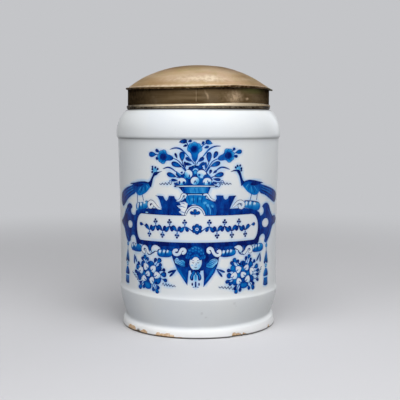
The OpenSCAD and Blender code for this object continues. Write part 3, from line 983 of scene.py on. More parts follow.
def panel(paint):
    """The bare panel, and in it a running garland of leaves and berries."""
    outline = oval((-58.5, 105.2), (8, 12.2), 90, 180, 8) + oval((-61.3, 104), (5.2, 11.8), 180, 270, 8)
    outline += oval((56.8, 104.4), (7.2, 12), -90, 0, 8) + oval((54.6, 104.8), (9.4, 12.2), 0, 90, 8)
    for across, up, tone in [(1.012, 1.06, INK), (1, 1.02, BARE)]:
        paint.lay([(u * across, 104.8 + (z - 104.8) * up) for u, z in outline], tone)
    paint.lay([(-11.6, 115.4), (-11.2, 118.6), (5.2, 118.6), (5.6, 115.4)], BARE)
    for side in (-1, 1):
        vine = [(-1.2 + side * (4 + 7.4 * k), 104.8 + (2.2 if k % 2 else -2.2)) for k in range(8)]
        paint.stroke(vine, 1.1, DEEP, (0.9, 0.3))
        for k, (u, z) in enumerate(vine[1:-1]):
            up = 1 if k % 2 else -1
            paint.leaf((u, z), (u + side * 5.2, z + up * 5), 2.1, INK, COBALT)
            paint.leaf((u, z), (u - side * 3.2, z + up * 4.6), 1.6, INK, DEEP)
            for reach, drop in [(1.5, 3.8), (-1.1, 4), (0.3, 5.9)]:
                berry = (u + side * reach, z - up * drop)
                paint.stroke([(u, z), (u + side * reach * 0.4, z - up * drop * 0.5), berry], 0.5, COBALT)
                paint.disc(berry, (1.1, 1.1), INK, 0, 12)
        tip = vine[-1]
        paint.leaf(tip, (tip[0] + side * 5.4, tip[1] + 0.6), 1.7, INK, COBALT)
    rose = (-1.2, 104.8)
    for k in range(6):
        a = math.radians(60 * k + 30)
        paint.leaf(rose, (rose[0] + 5.2 * math.cos(a), rose[1] + 5.2 * math.sin(a)), 2, INK, COBALT)
    paint.disc(rose, (1.5, 1.5), BARE, 0, 12)
    paint.disc(rose, (0.7, 0.7), INK, 0, 10)
    paint.stroke([(-3, 116.4), (-3.1, 119), (-3, 121)], 0.8, DEEP)
    for turn in (30, 90, 150):
        a = math.radians(turn)
        paint.leaf((-3, 118.4), (-3 + 5.4 * math.cos(a), 118.4 + 5.4 * math.sin(a)), 1.7, INK, COBALT)
    paint.disc((-52.7, 118.9), (1.8, 0.6), PALE, 0, 10)


def cherub(paint):
    """A winged head over a dark pointed drape, with a lily below."""
    drape = [
        (-25.6, 86), (-25.6, 79), (-23.4, 73), (-19.8, 65), (-14.6, 57.6), (-10.4, 51.4), (-9.8, 58),
        (-9, 65.6), (-6, 66), (-2.5, 64.6), (1.5, 65.4), (4.8, 66), (5.3, 57.6), (4.8, 50), (10.6, 56.8),
        (15.8, 64), (18.8, 71.6), (20, 78.6), (20, 86),
    ]
    paint.lay(drape, shade(INK, DEEP, (-2, 88), (-2, 56)))
    for side, top in [(-1, (-22, 71)), (1, (16.5, 70))]:
        for k in range(3):
            start = (top[0] - side * 2.4 * k, top[1] - 2.4 * k)
            stop = (-2.5 + side * 8.6 + side * 0.6 * k, 55 + 1.6 * k)
            bow = ((start[0] + stop[0]) / 2 + side, (start[1] + stop[1]) / 2)
            paint.stroke([start, bow, stop], 0.9, COBALT)
    wings = [
        [
            (-23, 75.5), (-20.5, 77.8), (-17.5, 75.8), (-14.5, 75.8), (-12.5, 74), (-11, 71.5),
            (-10.5, 70), (-13.5, 69.2), (-16.5, 69.8), (-19.5, 71.2), (-22.3, 72.6),
        ],
        [
            (6, 70.2), (7.5, 71.6), (10.5, 74.8), (12.5, 76.4), (16, 77), (18.6, 75.6), (18.4, 72.6),
            (16.5, 70.8), (14, 68.2), (11, 67.8), (8.5, 68.6),
        ],
    ]
    for wing in wings:
        inner = min(wing, key=lambda p: abs(p[0] + 2.5))
        outer = max(wing, key=lambda p: abs(p[0] + 2.5))
        paint.blob(wing, shade(PALE, MID, outer, inner), 4)
        paint.stroke(wing + wing[:1], 0.6, INK, (1, 1))
        for k in (-1, 0, 1):
            mid = ((inner[0] + outer[0]) / 2, (inner[1] + outer[1]) / 2 + 1.9 * k)
            paint.stroke([inner, mid, (outer[0] * 0.9 + mid[0] * 0.1, outer[1] + 0.8 * k)], 0.7, COBALT)
    hair = [
        (-11.6, 69), (-12.6, 74.6), (-12, 80.6), (-10, 85), (-6.6, 88), (-2, 88.8), (2.4, 88), (5.6, 85),
        (7.2, 80.6), (7.6, 74.6), (6.6, 69), (-2.5, 71),
    ]
    paint.blob(hair, shade(DEEP, INK, (-2, 88.5), (-2, 78)))
    for across, up, tone, count in [(8.2, 11, MID, 9), (6.6, 9, COBALT, 7)]:
        for k in range(count):
            a = math.radians(12 + 156 * k / (count - 1))
            curl = (-2.5 + across * math.cos(a), 76.4 + up * math.sin(a))
            light = tone - 0.12 * math.sin(a) ** 2
            paint.ball(curl, (2.1, 1.6), light, INK if k % 2 else DEEP, math.degrees(a) + 60)
            hook = [(-1.2, -0.5), (-0.2, 0.6), (0.9, 0.1)]
            paint.stroke(shifted(hook, curl), 0.5, DEEP, (0.3, 0.6))
    head, tilt = (-2.5, 73.4), -4
    paint.disc(head, (6.3, 7.8), INK, tilt, 26)
    paint.disc(head, (5.8, 7.3), shade(BARE, PALE, (-5, 76), (3, 68)), tilt, 26)
    for k in range(6):
        a = math.radians(35 + 22 * k)
        lock = (head[0] + 5.2 * math.cos(a), head[1] + 6.7 * math.sin(a))
        paint.ball(lock, (1.8, 1.4), COBALT, INK if k % 2 else DEEP, math.degrees(a) + 50)
    for side in (-1, 1):
        eye = (head[0] + side * 2.3, head[1] + 0.1)
        paint.stroke(shifted([(-1.1, 0), (0, -0.45), (1.1, 0)], eye), 0.6, INK)
        paint.stroke(shifted([(-1.2, 1.4), (0, 1.8), (1.2, 1.3)], eye), 0.45, COBALT)
        paint.disc((head[0] + side * 3.2, head[1] - 2.6), (1.1, 0.8), PALE, 0, 12)
    paint.stroke(shifted([(0.3, -0.2), (0.5, -2.2), (-0.4, -2.6)], head), 0.5, COBALT)
    paint.stroke(shifted([(-1.2, -4.3), (0, -4.7), (1.2, -4.3)], head), 0.6, INK)
    paint.stroke(shifted([(-0.6, -5.6), (0.6, -5.6)], head), 0.4, WASH)
    paint.blob([(-6.4, 66.4), (1.4, 66.4), (1.6, 63.6), (-0.4, 61.6), (-4.6, 61.6), (-6.6, 63.6)], INK)
    for side in (-1, 1):
        petal = [(1.8, 65), (4, 63), (5.4, 60), (5.1, 57.3), (3.5, 56.2), (2.3, 57), (2, 60), (1.1, 63.5)]
        outline = [(-2.5 + side * x, z) for x, z in petal]
        paint.blob(outline, shade(COBALT, INK, (-2.5, 64), (-2.5 + side * 5, 56)))
        paint.stroke([(-2.5 + side * x, z) for x, z in [(2.4, 62.6), (3.8, 60.4), (3.8, 57.8)]], 0.7, MID)
        paint.disc((-2.5 + side * 3.2, 52.8), (0.8, 1.6), INK, 0, 10)
        paint.stroke([(-2.5 + side * 0.8, 50.2), (-2.5 + side * 3, 50)], 0.7, COBALT)
    paint.leaf((-2.5, 64), (-2.5, 55.4), 1.6, PALE, MID)
    paint.stroke([(-2.5, 55.4), (-2.5, 53), (-2.5, 49.8)], 1.5, INK, (0.8, 0.8))


# Bouquets: middle, white flowers, blue masses, and the leaves that stand round them, with half sizes
BOUQUETS = [
    (
        (-50, 60.5),
        [
            ((-54.8, 66.7), 2.9, 3), ((-45.7, 65.2), 2.9, 3.2), ((-61.5, 62.5), 3, 2.9),
            ((-52.3, 60), 2.5, 2.4), ((-41.5, 59.5), 3.4, 3), ((-57.3, 55), 2.8, 2.6),
            ((-47.5, 54), 2.4, 3.2),
        ],
        [
            ((-58.5, 69.5), 3, 2), ((-48, 70.5), 3, 2), ((-39.3, 66), 2.5, 3), ((-40, 54.5), 4, 2.5),
            ((-53, 49), 5, 3.5), ((-64, 56.5), 4, 2.5), ((-56.5, 60.5), 3.5, 3), ((-46.5, 59.5), 3, 3),
            ((-51, 55.5), 4, 3), ((-50.4, 65.4), 3, 3),
        ],
        [
            ((-59, 73.8), 1.5, 1.2), ((-55.6, 75.3), 2.3, 1.6), ((-52.3, 73.8), 1.6, 1.1),
            ((-43.3, 73.5), 2.1, 1.2), ((-39, 73.5), 2.4, 1.7), ((-38, 69.5), 1.6, 1.1),
            ((-34.3, 65), 1.5, 1.1), ((-34.5, 60.8), 2.7, 2), ((-32.8, 55.5), 1.9, 1.2),
            ((-40.8, 48.2), 2, 1.2), ((-45.7, 46), 2, 1.2), ((-41.7, 44.3), 2.3, 1.4),
            ((-57.5, 47.5), 2, 1.2), ((-62.2, 46.5), 2.7, 1.8), ((-61.7, 50.6), 1.7, 1),
            ((-65.8, 65), 2.5, 2.3), ((-64.3, 68.7), 1.7, 1.1), ((-68.5, 60.3), 2, 1.2),
            ((-66, 58), 1.8, 1),
        ],
    ),
    (
        (45.8, 60.5),
        [
            ((40, 65.3), 2.8, 3), ((49.4, 66.3), 2.6, 2.5), ((56, 62.3), 2.6, 3.2),
            ((45.5, 59.8), 2.9, 2.6), ((35.5, 59.5), 3, 3), ((40.5, 54), 2.6, 2.6), ((50.8, 55), 2.8, 3),
        ],
        [
            ((44.8, 71), 3, 2), ((55, 69.5), 3, 2), ((34, 67), 2.5, 2.5), ((30, 60), 2.4, 2.2),
            ((46.5, 50), 5, 3.2), ((56, 54.5), 3, 2.6), ((36, 53), 3, 2.4), ((40.6, 59.8), 2.6, 3),
            ((51, 60.6), 3, 3.2), ((45.6, 55), 3, 3), ((44.8, 65.4), 2.6, 3),
        ],
        [
            ((36, 74), 2.1, 1.5), ((33.5, 71.3), 2.2, 1.2), ((39.4, 72.8), 1.4, 1.1),
            ((48.7, 74.8), 1.9, 1.1), ((52.3, 76.5), 1.8, 1.3), ((54.3, 73.3), 1.5, 0.9),
            ((59, 71.2), 1.5, 1.2), ((62, 66), 2.5, 1.8), ((64, 62), 2, 1.2), ((63.3, 58.3), 1.7, 1),
            ((63.8, 53), 1.7, 0.9), ((57.7, 50.3), 2, 1.1), ((57.3, 46.7), 2.5, 1.5),
            ((52.3, 46.7), 1.9, 1.2), ((42.1, 46.3), 2.1, 1.1), ((37.7, 44.6), 2, 1.3),
            ((36.8, 48), 2.2, 1), ((32, 52.5), 2.2, 1.2), ((29, 54.6), 2.3, 1.2), ((30.2, 64.7), 2, 1.2),
        ],
    ),
]


def bouquet(paint, mid, flowers, masses, leaves, rng):
    """A round bunch of white flowers with dark leaves standing out all round."""
    paint.ball(mid, (12, 10.8), DEEP, COBALT)
    for leaf, half_long, half_wide in leaves:
        paint.stroke([mid, ((mid[0] + leaf[0]) / 2, (mid[1] + leaf[1]) / 2), leaf], 0.9, COBALT, (0.8, 0.7))
    for place, half_long, half_wide in masses:
        turn = math.degrees(math.atan2(place[1] - mid[1], place[0] - mid[0])) + 90
        heart = rng.choice([COBALT - 0.06, COBALT + 0.06])
        paint.ball(place, (half_long + 0.4, half_wide + 0.4), heart, DEEP + 0.04, turn)
    for k in range(22):
        a, reach = rng.uniform(0, 2 * math.pi), 11.5 * math.sqrt(rng.random())
        place = (mid[0] + reach * math.cos(a), mid[1] + reach * math.sin(a))
        half = (rng.uniform(1.2, 2.2), rng.uniform(0.7, 1.2))
        paint.disc(place, half, rng.choice([INK, COBALT, DEEP]), rng.uniform(0, 180), 10)
    for leaf, half_long, half_wide in leaves:
        turn = math.degrees(math.atan2(leaf[1] - mid[1], leaf[0] - mid[0]))
        paint.dab(leaf, half_long + 0.7, half_wide + 0.7, turn)
    for (u, z), half_u, half_z in flowers:
        out = math.atan2(z - mid[1], u - mid[0])
        petals = []
        for k in range(9):
            a = out + 2 * math.pi * k / 9
            swell = 1.08 + 0.14 * math.cos(3 * (a - out))
            petals.append((u + half_u * swell * math.cos(a), z + half_z * swell * math.sin(a)))
        paint.blob(scaled(petals, (u, z), 1.1), DEEP, 3)
        paint.blob(petals, shade(BARE, PALE, (u, z), (u + 2.4, z - 2.8)), 3)
        side = rng.choice((-1, 1))
        hook = [(1, -0.45), (0.5, -0.4), (0.05, 0.1)]
        paint.stroke([(u + side * x * half_u, z + y * half_z) for x, y in hook], 0.8, COBALT, (1, 0.2))


def tassel(paint, u, z, lean):
    """A hanging tassel from its knot down, leaning a little."""

    def at(x, down):
        return (u + x + lean * down, z - down)

    def line(*places):
        return [at(x, down) for x, down in places]

    paint.stroke(line((0, -3.4), (0, 0), (0, 5)), 0.9, DEEP)
    paint.ball(at(0, 0), (2.1, 1.9), WASH, DEEP)
    hem = [(-4, 16.4), (-1.8, 17.6), (-0.4, 16), (1.4, 17.6), (3.8, 16.4)]
    cone = line((0, 4.4), (-1.4, 8), *hem, (1.4, 8))
    paint.lay(curve(cone, True, 3), shade(DEEP, INK, at(0, 5), at(0, 17)))
    for x in (-1.6, 0.2, 1.8):
        paint.stroke(line((x * 0.3, 7.5), (x, 15.6)), 0.6, MID)
    paint.ball(at(0, 19.8), (2.2, 1.9), BARE, DEEP)
    cap = line((-4, 29.8), (-3.8, 26), (-2, 23), (0, 22), (2, 23), (3.8, 26), (4, 29.8))
    paint.lay(curve(cap, True, 3), shade(MID, INK, at(-3, 24), at(3, 29)))
    paint.stroke(line((-4.2, 30.4), (0, 30.8), (4.2, 30.4)), 0.9, PALE, (0.8, 0.8))
    skirt = line((-3.6, 31.4), (3.6, 31.4), (4.4, 38.6), (1.6, 39.6), (-1.4, 39.2), (-4.4, 38.2))
    paint.lay(skirt, shade(COBALT, INK, at(0, 31), at(0, 39)))
    for x in (-2.4, -0.6, 1.2, 2.8):
        paint.stroke(line((x * 0.8, 31.8), (x, 38.4)), 0.5, MID)


# Leaves with two prongs: root and both tips
FORKED_LEAVES = [
    ((-20.6, 66.4), (-29.8, 62.8), (-28, 59.2)),
    ((17, 67.2), (26, 63.4), (23.2, 59)),
    ((-71.6, 77), (-67.6, 69.4), (-71.8, 67.4)),
    ((68, 79), (62.6, 71), (68.2, 69.4)),
]
# Tendrils of the bouquets: start, end, height of their waves
TENDRILS = [
    ((-36, 51.6), (-22, 50.2), 1.1),
    ((35.4, 47.6), (19.5, 49.6), 1.1),
    ((-63, 50.8), (-75.4, 59.4), 0.9),
    ((62.4, 53.2), (70.6, 65), 0.9),
]


def lower_flourishes(paint):
    """The forked leaves and the tendrils round the bouquets."""
    for root, *tips in FORKED_LEAVES:
        for tip in tips:
            paint.leaf(root, tip, 1.1, INK, DEEP)
    for start, stop, height in TENDRILS:
        paint.squiggle(start, stop, 5, height)


def paint_front():
    """The whole painted front, back to front."""
    paint = Painting()
    rng = random.Random(11)
    flower_spray(paint)
    fruit_bowl(paint)
    left_peacock(paint)
    right_peacock(paint)
    for mid, flowers, masses, leaves in BOUQUETS:
        bouquet(paint, mid, flowers, masses, leaves, rng)
    lower_flourishes(paint)
    tassel(paint, -84, 85.5, -0.07)
    tassel(paint, 79, 84.5, -0.03)
    cartouche_ground(paint)
    cherub(paint)
    strapwork(paint)
    centre_piece(paint)
    panel(paint)
    return paint


def halo(paint):
    """How thick the cobalt lies round each place, as a soft cloud that has bled into the glaze."""
    across, up = np.arange(-118, 119), np.arange(36, 196)
    places = np.array([(u, z) for z in up for u in across], float)
    tops = paint.topmost(places)
    cloud = np.zeros(len(places))
    for i in (tops >= 0).nonzero()[0]:
        tone = paint.tones[tops[i]]
        cloud[i] = tone(*places[i]) if callable(tone) else tone
    cloud = cloud.reshape(len(up), len(across))
    for k in range(3):
        for axis in (0, 1):
            cloud = (np.roll(cloud, 1, axis) + cloud + np.roll(cloud, -1, axis)) / 3

    def near(u, z):
        column = min(len(across) - 2, max(0, u - across[0]))
        row = min(len(up) - 2, max(0, z - up[0]))
        i, j = int(row), int(column)
        s, t = row - i, column - j
        low = cloud[i, j] * (1 - t) + cloud[i, j + 1] * t
        high = cloud[i + 1, j] * (1 - t) + cloud[i + 1, j + 1] * t
        return float(low * (1 - s) + high * s)

    return near


# The jar


def add_object(name, data):
    """A new object in the scene."""
    made = bpy.data.objects.new(name, data)
    bpy.context.scene.collection.objects.link(made)
    return made


def mesh_from(bm, name):
    """A finished mesh, after which the working one is gone."""
    mesh = bpy.data.meshes.new(name)
    bm.to_mesh(mesh)
    bm.free()
    return mesh


def jar_mesh():
    """One closed skin: turned rows all round, and the painted front cut along every painted edge."""
    bm = bmesh.new()
    tint = bm.loops.layers.float_color.new("paint")
    chart = bm.loops.layers.uv.new("OFBake")
    dirt_and_shade = bm.verts.layers.float.new("dirt_and_shade")
    rows = OUTSIDE + INSIDE
    first_in = len(OUTSIDE)
    ring = []
    for i, (r, z) in enumerate(rows):
        if r == 0:
            ring.append([bm.verts.new((0, 0, z * MM))] * COLUMNS)
        elif i < first_in:
            ring.append([bm.verts.new(jar_point(j * STEP, r, z)) for j in range(COLUMNS)])
        else:
            ring.append([bm.verts.new(round_point(j * STEP, r, z)) for j in range(COLUMNS)])
    for i, (r, z) in enumerate(OUTSIDE[1:] + INSIDE[:2], 1):
        for j, vert in enumerate(ring[i]):
            vert[dirt_and_shade] = painted_shade_and_dirt(j, r, z)
    tops = [i for i, (r, z) in enumerate(OUTSIDE) if PAINT_LOW <= z <= PAINT_HIGH]
    low, high = tops[0], tops[-1]
    heights = row_heights(rows, first_in)

    def finish_face(verts, corners):
        if len(set(verts)) < 3:
            return
        kept = [(v, c) for n, (v, c) in enumerate(zip(verts, corners)) if v not in verts[:n]]
        face = bm.faces.new([v for v, c in kept])
        face.smooth = True
        for loop, (v, (tone, clay, bleed, uv)) in zip(face.loops, kept):
            loop[tint] = (tone, clay, bleed, 1)
            loop[chart].uv = uv

    for i in range(len(rows) - 1):
        for j in range(COLUMNS):
            front = j if j < COLUMNS / 2 else j - COLUMNS
            if low <= i < high and -PAINT_SIDE <= front < PAINT_SIDE:
                continue
            k = (j + 1) % COLUMNS
            verts = [ring[i][j], ring[i][k], ring[i + 1][k], ring[i + 1][j]]
            corners = []
            for row, column in [(i, j), (i, j + 1), (i + 1, j + 1), (i + 1, j)]:
                r, z = rows[row]
                on_foot = row < first_in and r > RECESS_R and z < CHIP_TOP
                turn = column * STEP
                if turn >= math.pi:
                    turn -= 2 * math.pi
                clay = chipping(turn, z)[0] if on_foot else 0
                if row < first_in and z < 0.4:
                    clay = 1
                corners.append((0, clay, 0, (column / COLUMNS, heights[row])))
            finish_face(verts, corners)
    normals = front_faces(bm, ring, low, high, finish_face, dirt_and_shade)
    bm.normal_update()
    bm.verts.index_update()
    listed = [Vector((0, 0, 0))] * len(bm.verts)
    for vert, normal in normals.items():
        listed[vert.index] = normal
    mesh = mesh_from(bm, "jar")
    mesh.set_sharp_from_angle(angle=math.radians(JAR_SHARP))
    mesh.normals_split_custom_set_from_vertices(listed)
    return mesh


def row_heights(rows, first_in):
    """Where each row lies up the picture map's strip: the outside gets more room than the inside."""
    run = [0]
    for i in range(1, len(rows)):
        length = math.hypot(rows[i][0] - rows[i - 1][0], rows[i][1] - rows[i - 1][1])
        run.append(run[-1] + length * (1 if i < first_in else INSIDE_SHARE))
    return [ROWS_LOW + ROWS_TALL * x / run[-1] for x in run]


def front_faces(bm, ring, low, high, finish_face, dirt_and_shade):
    """Cuts the painted front into triangles that never cross a painted edge."""
    paint = paint_front()
    bleed = halo(paint)
    points, known = [], []
    for i in range(low, high + 1):
        for j in range(-PAINT_SIDE, PAINT_SIDE + 1):
            edge = i in (low, high) or abs(j) == PAINT_SIDE
            if edge or (i + j) % 2 == 0 or OUTSIDE[i][1] > GROOVE_LOW:
                points.append((j * STEP * PAINT_R, OUTSIDE[i][1]))
                known.append((i, j) if edge else None)
    start = len(points)
    edges = []
    for outline in paint.outlines:
        first, count = len(points), len(outline)
        points += outline
        edges += [(first + k, first + (k + 1) % count) for k in range(count)]
    cut = delaunay_2d_cdt([Vector(p) for p in points], edges, [], 0, 1e-5)
    places, triangles, sources = cut[0], cut[2], cut[3]
    verts, normals = [], {}
    for place, source in zip(places, sources):
        spot = next((known[k] for k in source if k < start and known[k]), None)
        vert = ring[spot[0]][spot[1] % COLUMNS] if spot else bm.verts.new(wall_point(*place))
        vert[dirt_and_shade] = painted_shade_and_dirt(math.degrees(place[0] / PAINT_R) % 360, PAINT_R, place[1])
        normals[vert] = wall_normal(*place)
        verts.append(vert)
    for i in range(low + 1, high):
        for j in range(-PAINT_SIDE + 1, PAINT_SIDE):
            bm.verts.remove(ring[i][j % COLUMNS])
    reach = PAINT_SIDE * STEP * PAINT_R
    floor_z, top_z = OUTSIDE[low][1], OUTSIDE[high][1]
    flat = np.array([tuple(p) for p in places])
    tops = paint.topmost(flat[np.array(triangles)].mean(1))
    for triangle, top in zip(triangles, tops):
        tone = paint.tones[top] if top >= 0 else BARE
        corners = []
        for k in triangle:
            u, z = places[k]
            uv = ((u + reach) / (2 * reach), FRONT_TALL * (z - floor_z) / (top_z - floor_z))
            share = 1 if top < 0 else 0.6
            corners.append((tone(u, z) if callable(tone) else tone, 0, share * bleed(u, z), uv))
        finish_face([verts[k] for k in triangle], corners)
    return normals


# Materials


def srgb(r, g, b):
    """A colour as given, made linear."""
    def line(c):
        c /= 255
        return c / 12.92 if c <= 0.04045 else ((c + 0.055) / 1.055) ** 2.4

    return (line(r), line(g), line(b), 1)


class Shader:
    """A material with short calls to add and join its nodes."""

    def __init__(self, name):
        self.material = bpy.data.materials.new(name)
        self.material.use_nodes = True
        self.tree = self.material.node_tree
        self.body = next(n for n in self.tree.nodes if n.type == "BSDF_PRINCIPLED")
        self.place = self.add("ShaderNodeTexCoord").outputs["Object"]

    def add(self, kind, **settings):
        node = self.tree.nodes.new(kind)
        for key, value in settings.items():
            setattr(node, key, value)
        return node

    def join(self, source, target):
        self.tree.links.new(source, target)

    def noise(self, scale, detail=4, stretch=(1, 1, 1), rough=0.55):
        spread = self.add("ShaderNodeMapping")
        spread.inputs["Scale"].default_value = stretch
        self.join(self.place, spread.inputs["Vector"])
        node = self.add("ShaderNodeTexNoise")
        node.inputs["Scale"].default_value = scale
        node.inputs["Detail"].default_value = detail
        node.inputs["Roughness"].default_value = rough
        self.join(spread.outputs["Vector"], node.inputs["Vector"])
        return node.outputs["Fac"]

    def remap(self, source, low, high, to_low, to_high, curve_kind="LINEAR"):
        node = self.add("ShaderNodeMapRange", interpolation_type=curve_kind)
        for key, value in zip(("From Min", "From Max", "To Min", "To Max"), (low, high, to_low, to_high)):
            node.inputs[key].default_value = value
        self.join(source, node.inputs["Value"])
        return node.outputs["Result"]

    def feed(self, socket, value):
        """Sets a constant on a socket, or joins another node's output to it."""
        if isinstance(value, (int, float, tuple)):
            socket.default_value = value
        else:
            self.join(value, socket)

    def math(self, kind, first, second):
        node = self.add("ShaderNodeMath", operation=kind)
        self.feed(node.inputs[0], first)
        self.feed(node.inputs[1], second)
        return node.outputs["Value"]

    def mix(self, factor, first, second):
        node = self.add("ShaderNodeMix", data_type="RGBA")
        for number, value in ((0, factor), (6, first), (7, second)):
            self.feed(node.inputs[number], value)
        return node.outputs[2]

    def ramp(self, source, stops):
        node = self.add("ShaderNodeValToRGB")
        points = node.color_ramp.elements
        while len(points) < len(stops):
            points.new(1)
        for point, (place, colour) in zip(points, stops):
            point.position = place
            point.color = colour
        self.join(source, node.inputs["Fac"])
        return node.outputs["Color"]

    def channels(self, name):
        node = self.add("ShaderNodeAttribute", attribute_name=name)
        split = self.add("ShaderNodeSeparateColor")
        self.join(node.outputs["Color"], split.inputs["Color"])
        return split.outputs

    def bump(self, height, strength, distance):
        node = self.add("ShaderNodeBump")
        node.inputs["Strength"].default_value = strength
        node.inputs["Distance"].default_value = distance
        self.join(height, node.inputs["Height"])
        self.join(node.outputs["Normal"], self.body.inputs["Normal"])

    def set(self, **values):
        for key, value in values.items():
            self.body.inputs[key.replace("_", " ")].default_value = value


def painted_glaze():
    """White tin glaze with cobalt painted into it, and buff clay where it is chipped or bare."""
    s = Shader("painted_glaze")
    marks = s.channels("paint")
    brush = s.noise(260, 3, (1, 1, 0.55))
    pool = s.noise(70, 2)
    strength = s.math("MULTIPLY", marks["Red"], s.remap(brush, 0.3, 0.7, 0.87, 1.1))
    strength = s.math("MULTIPLY", strength, s.remap(pool, 0.3, 0.7, 0.9, 1.08))
    blues = [
        (BARE, srgb(226, 231, 235)), (PALE, srgb(148, 203, 238)), (WASH, srgb(74, 164, 218)),
        (MID, srgb(12, 122, 198)), (COBALT, srgb(0, 85, 172)), (DEEP, srgb(0, 49, 136)),
        (INK, srgb(0, 21, 95)),
    ]
    cobalt = s.ramp(strength, blues)
    cloud = s.noise(14, 3)
    white = s.mix(s.remap(cloud, 0.35, 0.65, 0, 1), srgb(226, 231, 236), srgb(232, 235, 236))
    speck = s.noise(420, 2)
    white = s.mix(s.remap(speck, 0.73, 0.78, 0, 0.3), white, srgb(160, 172, 184))
    # The foot is painted whiter below about 9 mm: a painted highlight
    spread = s.add("ShaderNodeSeparateXYZ")
    s.join(s.place, spread.inputs[0])
    white = s.mix(s.remap(spread.outputs["Z"], 0.006, 0.0095, 1, 0), white, srgb(247, 248, 249))
    white = s.mix(s.remap(marks["Blue"], 0.06, 0.45, 0, 0.7), white, srgb(124, 186, 238))
    is_painted = s.remap(marks["Red"], 0.01, 0.05, 0, 1)
    colour = s.mix(is_painted, white, cobalt)
    grain = s.noise(500, 5)
    ragged = s.math("ADD", marks["Green"], s.remap(grain, 0.3, 0.7, -0.14, 0.14))
    bare = s.remap(ragged, 0.3, 0.6, 0, 1)
    buffs = [(0.3, srgb(198, 158, 116)), (0.5, srgb(225, 192, 156)), (0.7, srgb(243, 225, 201))]
    clay = s.ramp(grain, buffs)
    colour = s.mix(bare, colour, clay)
    # Darkened by the jar's vertex attribute: painted shadow under the lid, painted shade in the groove and
    # in a chip's notch, dirt with painted contact shadow at the foot's edge, and smudges
    dirt_and_shade = s.add("ShaderNodeAttribute", attribute_name="dirt_and_shade").outputs["Fac"]
    colour = s.mix(s.remap(dirt_and_shade, 0.1, 1, 0, 0.88), colour, srgb(46, 38, 30))
    s.join(colour, s.body.inputs["Base Color"])
    gloss = s.remap(s.noise(40, 4), 0.3, 0.7, 0.16, 0.26)
    s.join(s.math("MAXIMUM", gloss, s.math("MULTIPLY", bare, 0.85)), s.body.inputs["Roughness"])
    s.set(Specular_IOR_Level=0.07)
    s.bump(s.noise(150, 3), 0.12, 0.0006)
    return s.material


jar = add_object("jar_glazed", jar_mesh())
jar.data.materials.append(painted_glaze())
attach(jar, "jar")
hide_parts("jar_body")

# The lid's own outline
CROWN_CURVE = 200
CROWN_REACH = 20
FLANK_CURVE = 95.8
DOME_FOOT_R = 70.5
SHEET = 0.9
HEM_R = 68.1
BRIM_T = 1.8
BAND_EDGE = 0.25
DOME_COLUMNS = 300
LID_SHARP = 48
# The band's lap: from and to in degrees round the front, how proud it stands, and its height
LAP_FROM = -1.6
LAP_TO = 6.2
LAP_PROUD = 0.3
LAP_LOW = 222.4
LAP_HIGH = 235.4
SOLDER_LEG = 1.6
# Waves of the brim and the bead: degrees round the front, and millimetres up
BRIM_WAVES = [
    (-85, 0.5), (-62, -0.2), (-43, -0.8), (-28, -1.2), (-6, -1.1), (13, 0.1), (28, 0.75), (44, 0.5),
    (58, 0.1), (80, -1.3), (104, -0.1), (140, 0.3), (185, -0.3), (230, 0.35),
]
BEAD_WAVES = [
    (-88, -1.6), (-55, -1.3), (-30, -1.2), (-4, -1.1), (12, -0.6), (30, -0.1), (44, 0), (57, -0.4),
    (74, -1), (90, -1.3), (125, -0.9), (200, -1.2),
]


def along(points, angle):
    """A height read off listed points, eased between them all the way round."""
    angle = (angle - points[0][0]) % 360 + points[0][0]
    loop = points + [(points[0][0] + 360, points[0][1])]
    for (a0, h0), (a1, h1) in zip(loop, loop[1:]):
        if a0 <= angle <= a1:
            return h0 + (h1 - h0) * smooth(a0, a1, angle)
    return 0


def turned(name, outline, place, marks, angles, closed):
    """A skin turned from an outline, put out of true by place and coloured by marks, point by point."""
    bm = bmesh.new()
    tint = bm.verts.layers.float_color.new("marks")
    rings = []
    for number, (r, z) in enumerate(outline):
        ring = []
        for angle in angles[:1] if r == 0 else angles:
            vert = bm.verts.new(place(angle, r, z, number))
            vert[tint] = (*marks(angle, r, z, number), 1)
            ring.append(vert)
        rings.append(ring * len(angles) if r == 0 else ring)
    pairs = list(zip(rings, rings[1:])) + ([(rings[-1], rings[0])] if closed else [])
    for lower, upper in pairs:
        for j in range(len(angles)):
            k = (j + 1) % len(angles)
            corners = [lower[j], lower[k], upper[k], upper[j]]
            face = bm.faces.new(list(dict.fromkeys(corners)))
            face.smooth = True
    bmesh.ops.recalc_face_normals(bm, faces=bm.faces)
    mesh = mesh_from(bm, name)
    mesh.set_sharp_from_angle(angle=math.radians(LID_SHARP))
    return add_object(name, mesh)


def dome_outline():
    """The dome from its top over the folded brim and back up inside."""
    crown_mid = APEX_Z - CROWN_CURVE
    lean = math.asin(CROWN_REACH / CROWN_CURVE)
    flank_mid = (CROWN_REACH - FLANK_CURVE * math.sin(lean),
                 crown_mid + (CROWN_CURVE - FLANK_CURVE) * math.cos(lean))

    def skin(inset, foot_r):
        crown, flank = CROWN_CURVE - inset, FLANK_CURVE - inset
        line = [(0, crown_mid + crown)]
        for k in range(1, 7):
            a = lean * k / 6
            line.append((crown * math.sin(a), crown_mid + crown * math.cos(a)))
        end = math.asin((foot_r - flank_mid[0]) / flank)
        for k in range(1, 25):
            a = lean + (end - lean) * k / 24
            line.append((flank_mid[0] + flank * math.sin(a), flank_mid[1] + flank * math.cos(a)))
        return line

    half = BRIM_T / 2
    edge = (BRIM_R - half, SEAT_Z + half)
    line = skin(0, DOME_FOOT_R)
    fold = (DOME_FOOT_R + 0.7, SEAT_Z + BRIM_T - 0.15)
    line += bend(line[-1], fold, (edge[0] - 0.9, SEAT_Z + BRIM_T - 0.1), 5)
    line += oval(edge, (half, half), 80, -90, 9)
    line += straight((edge[0], SEAT_Z), (HEM_R, SEAT_Z), 5)
    return line + skin(SHEET, HEM_R)[::-1]


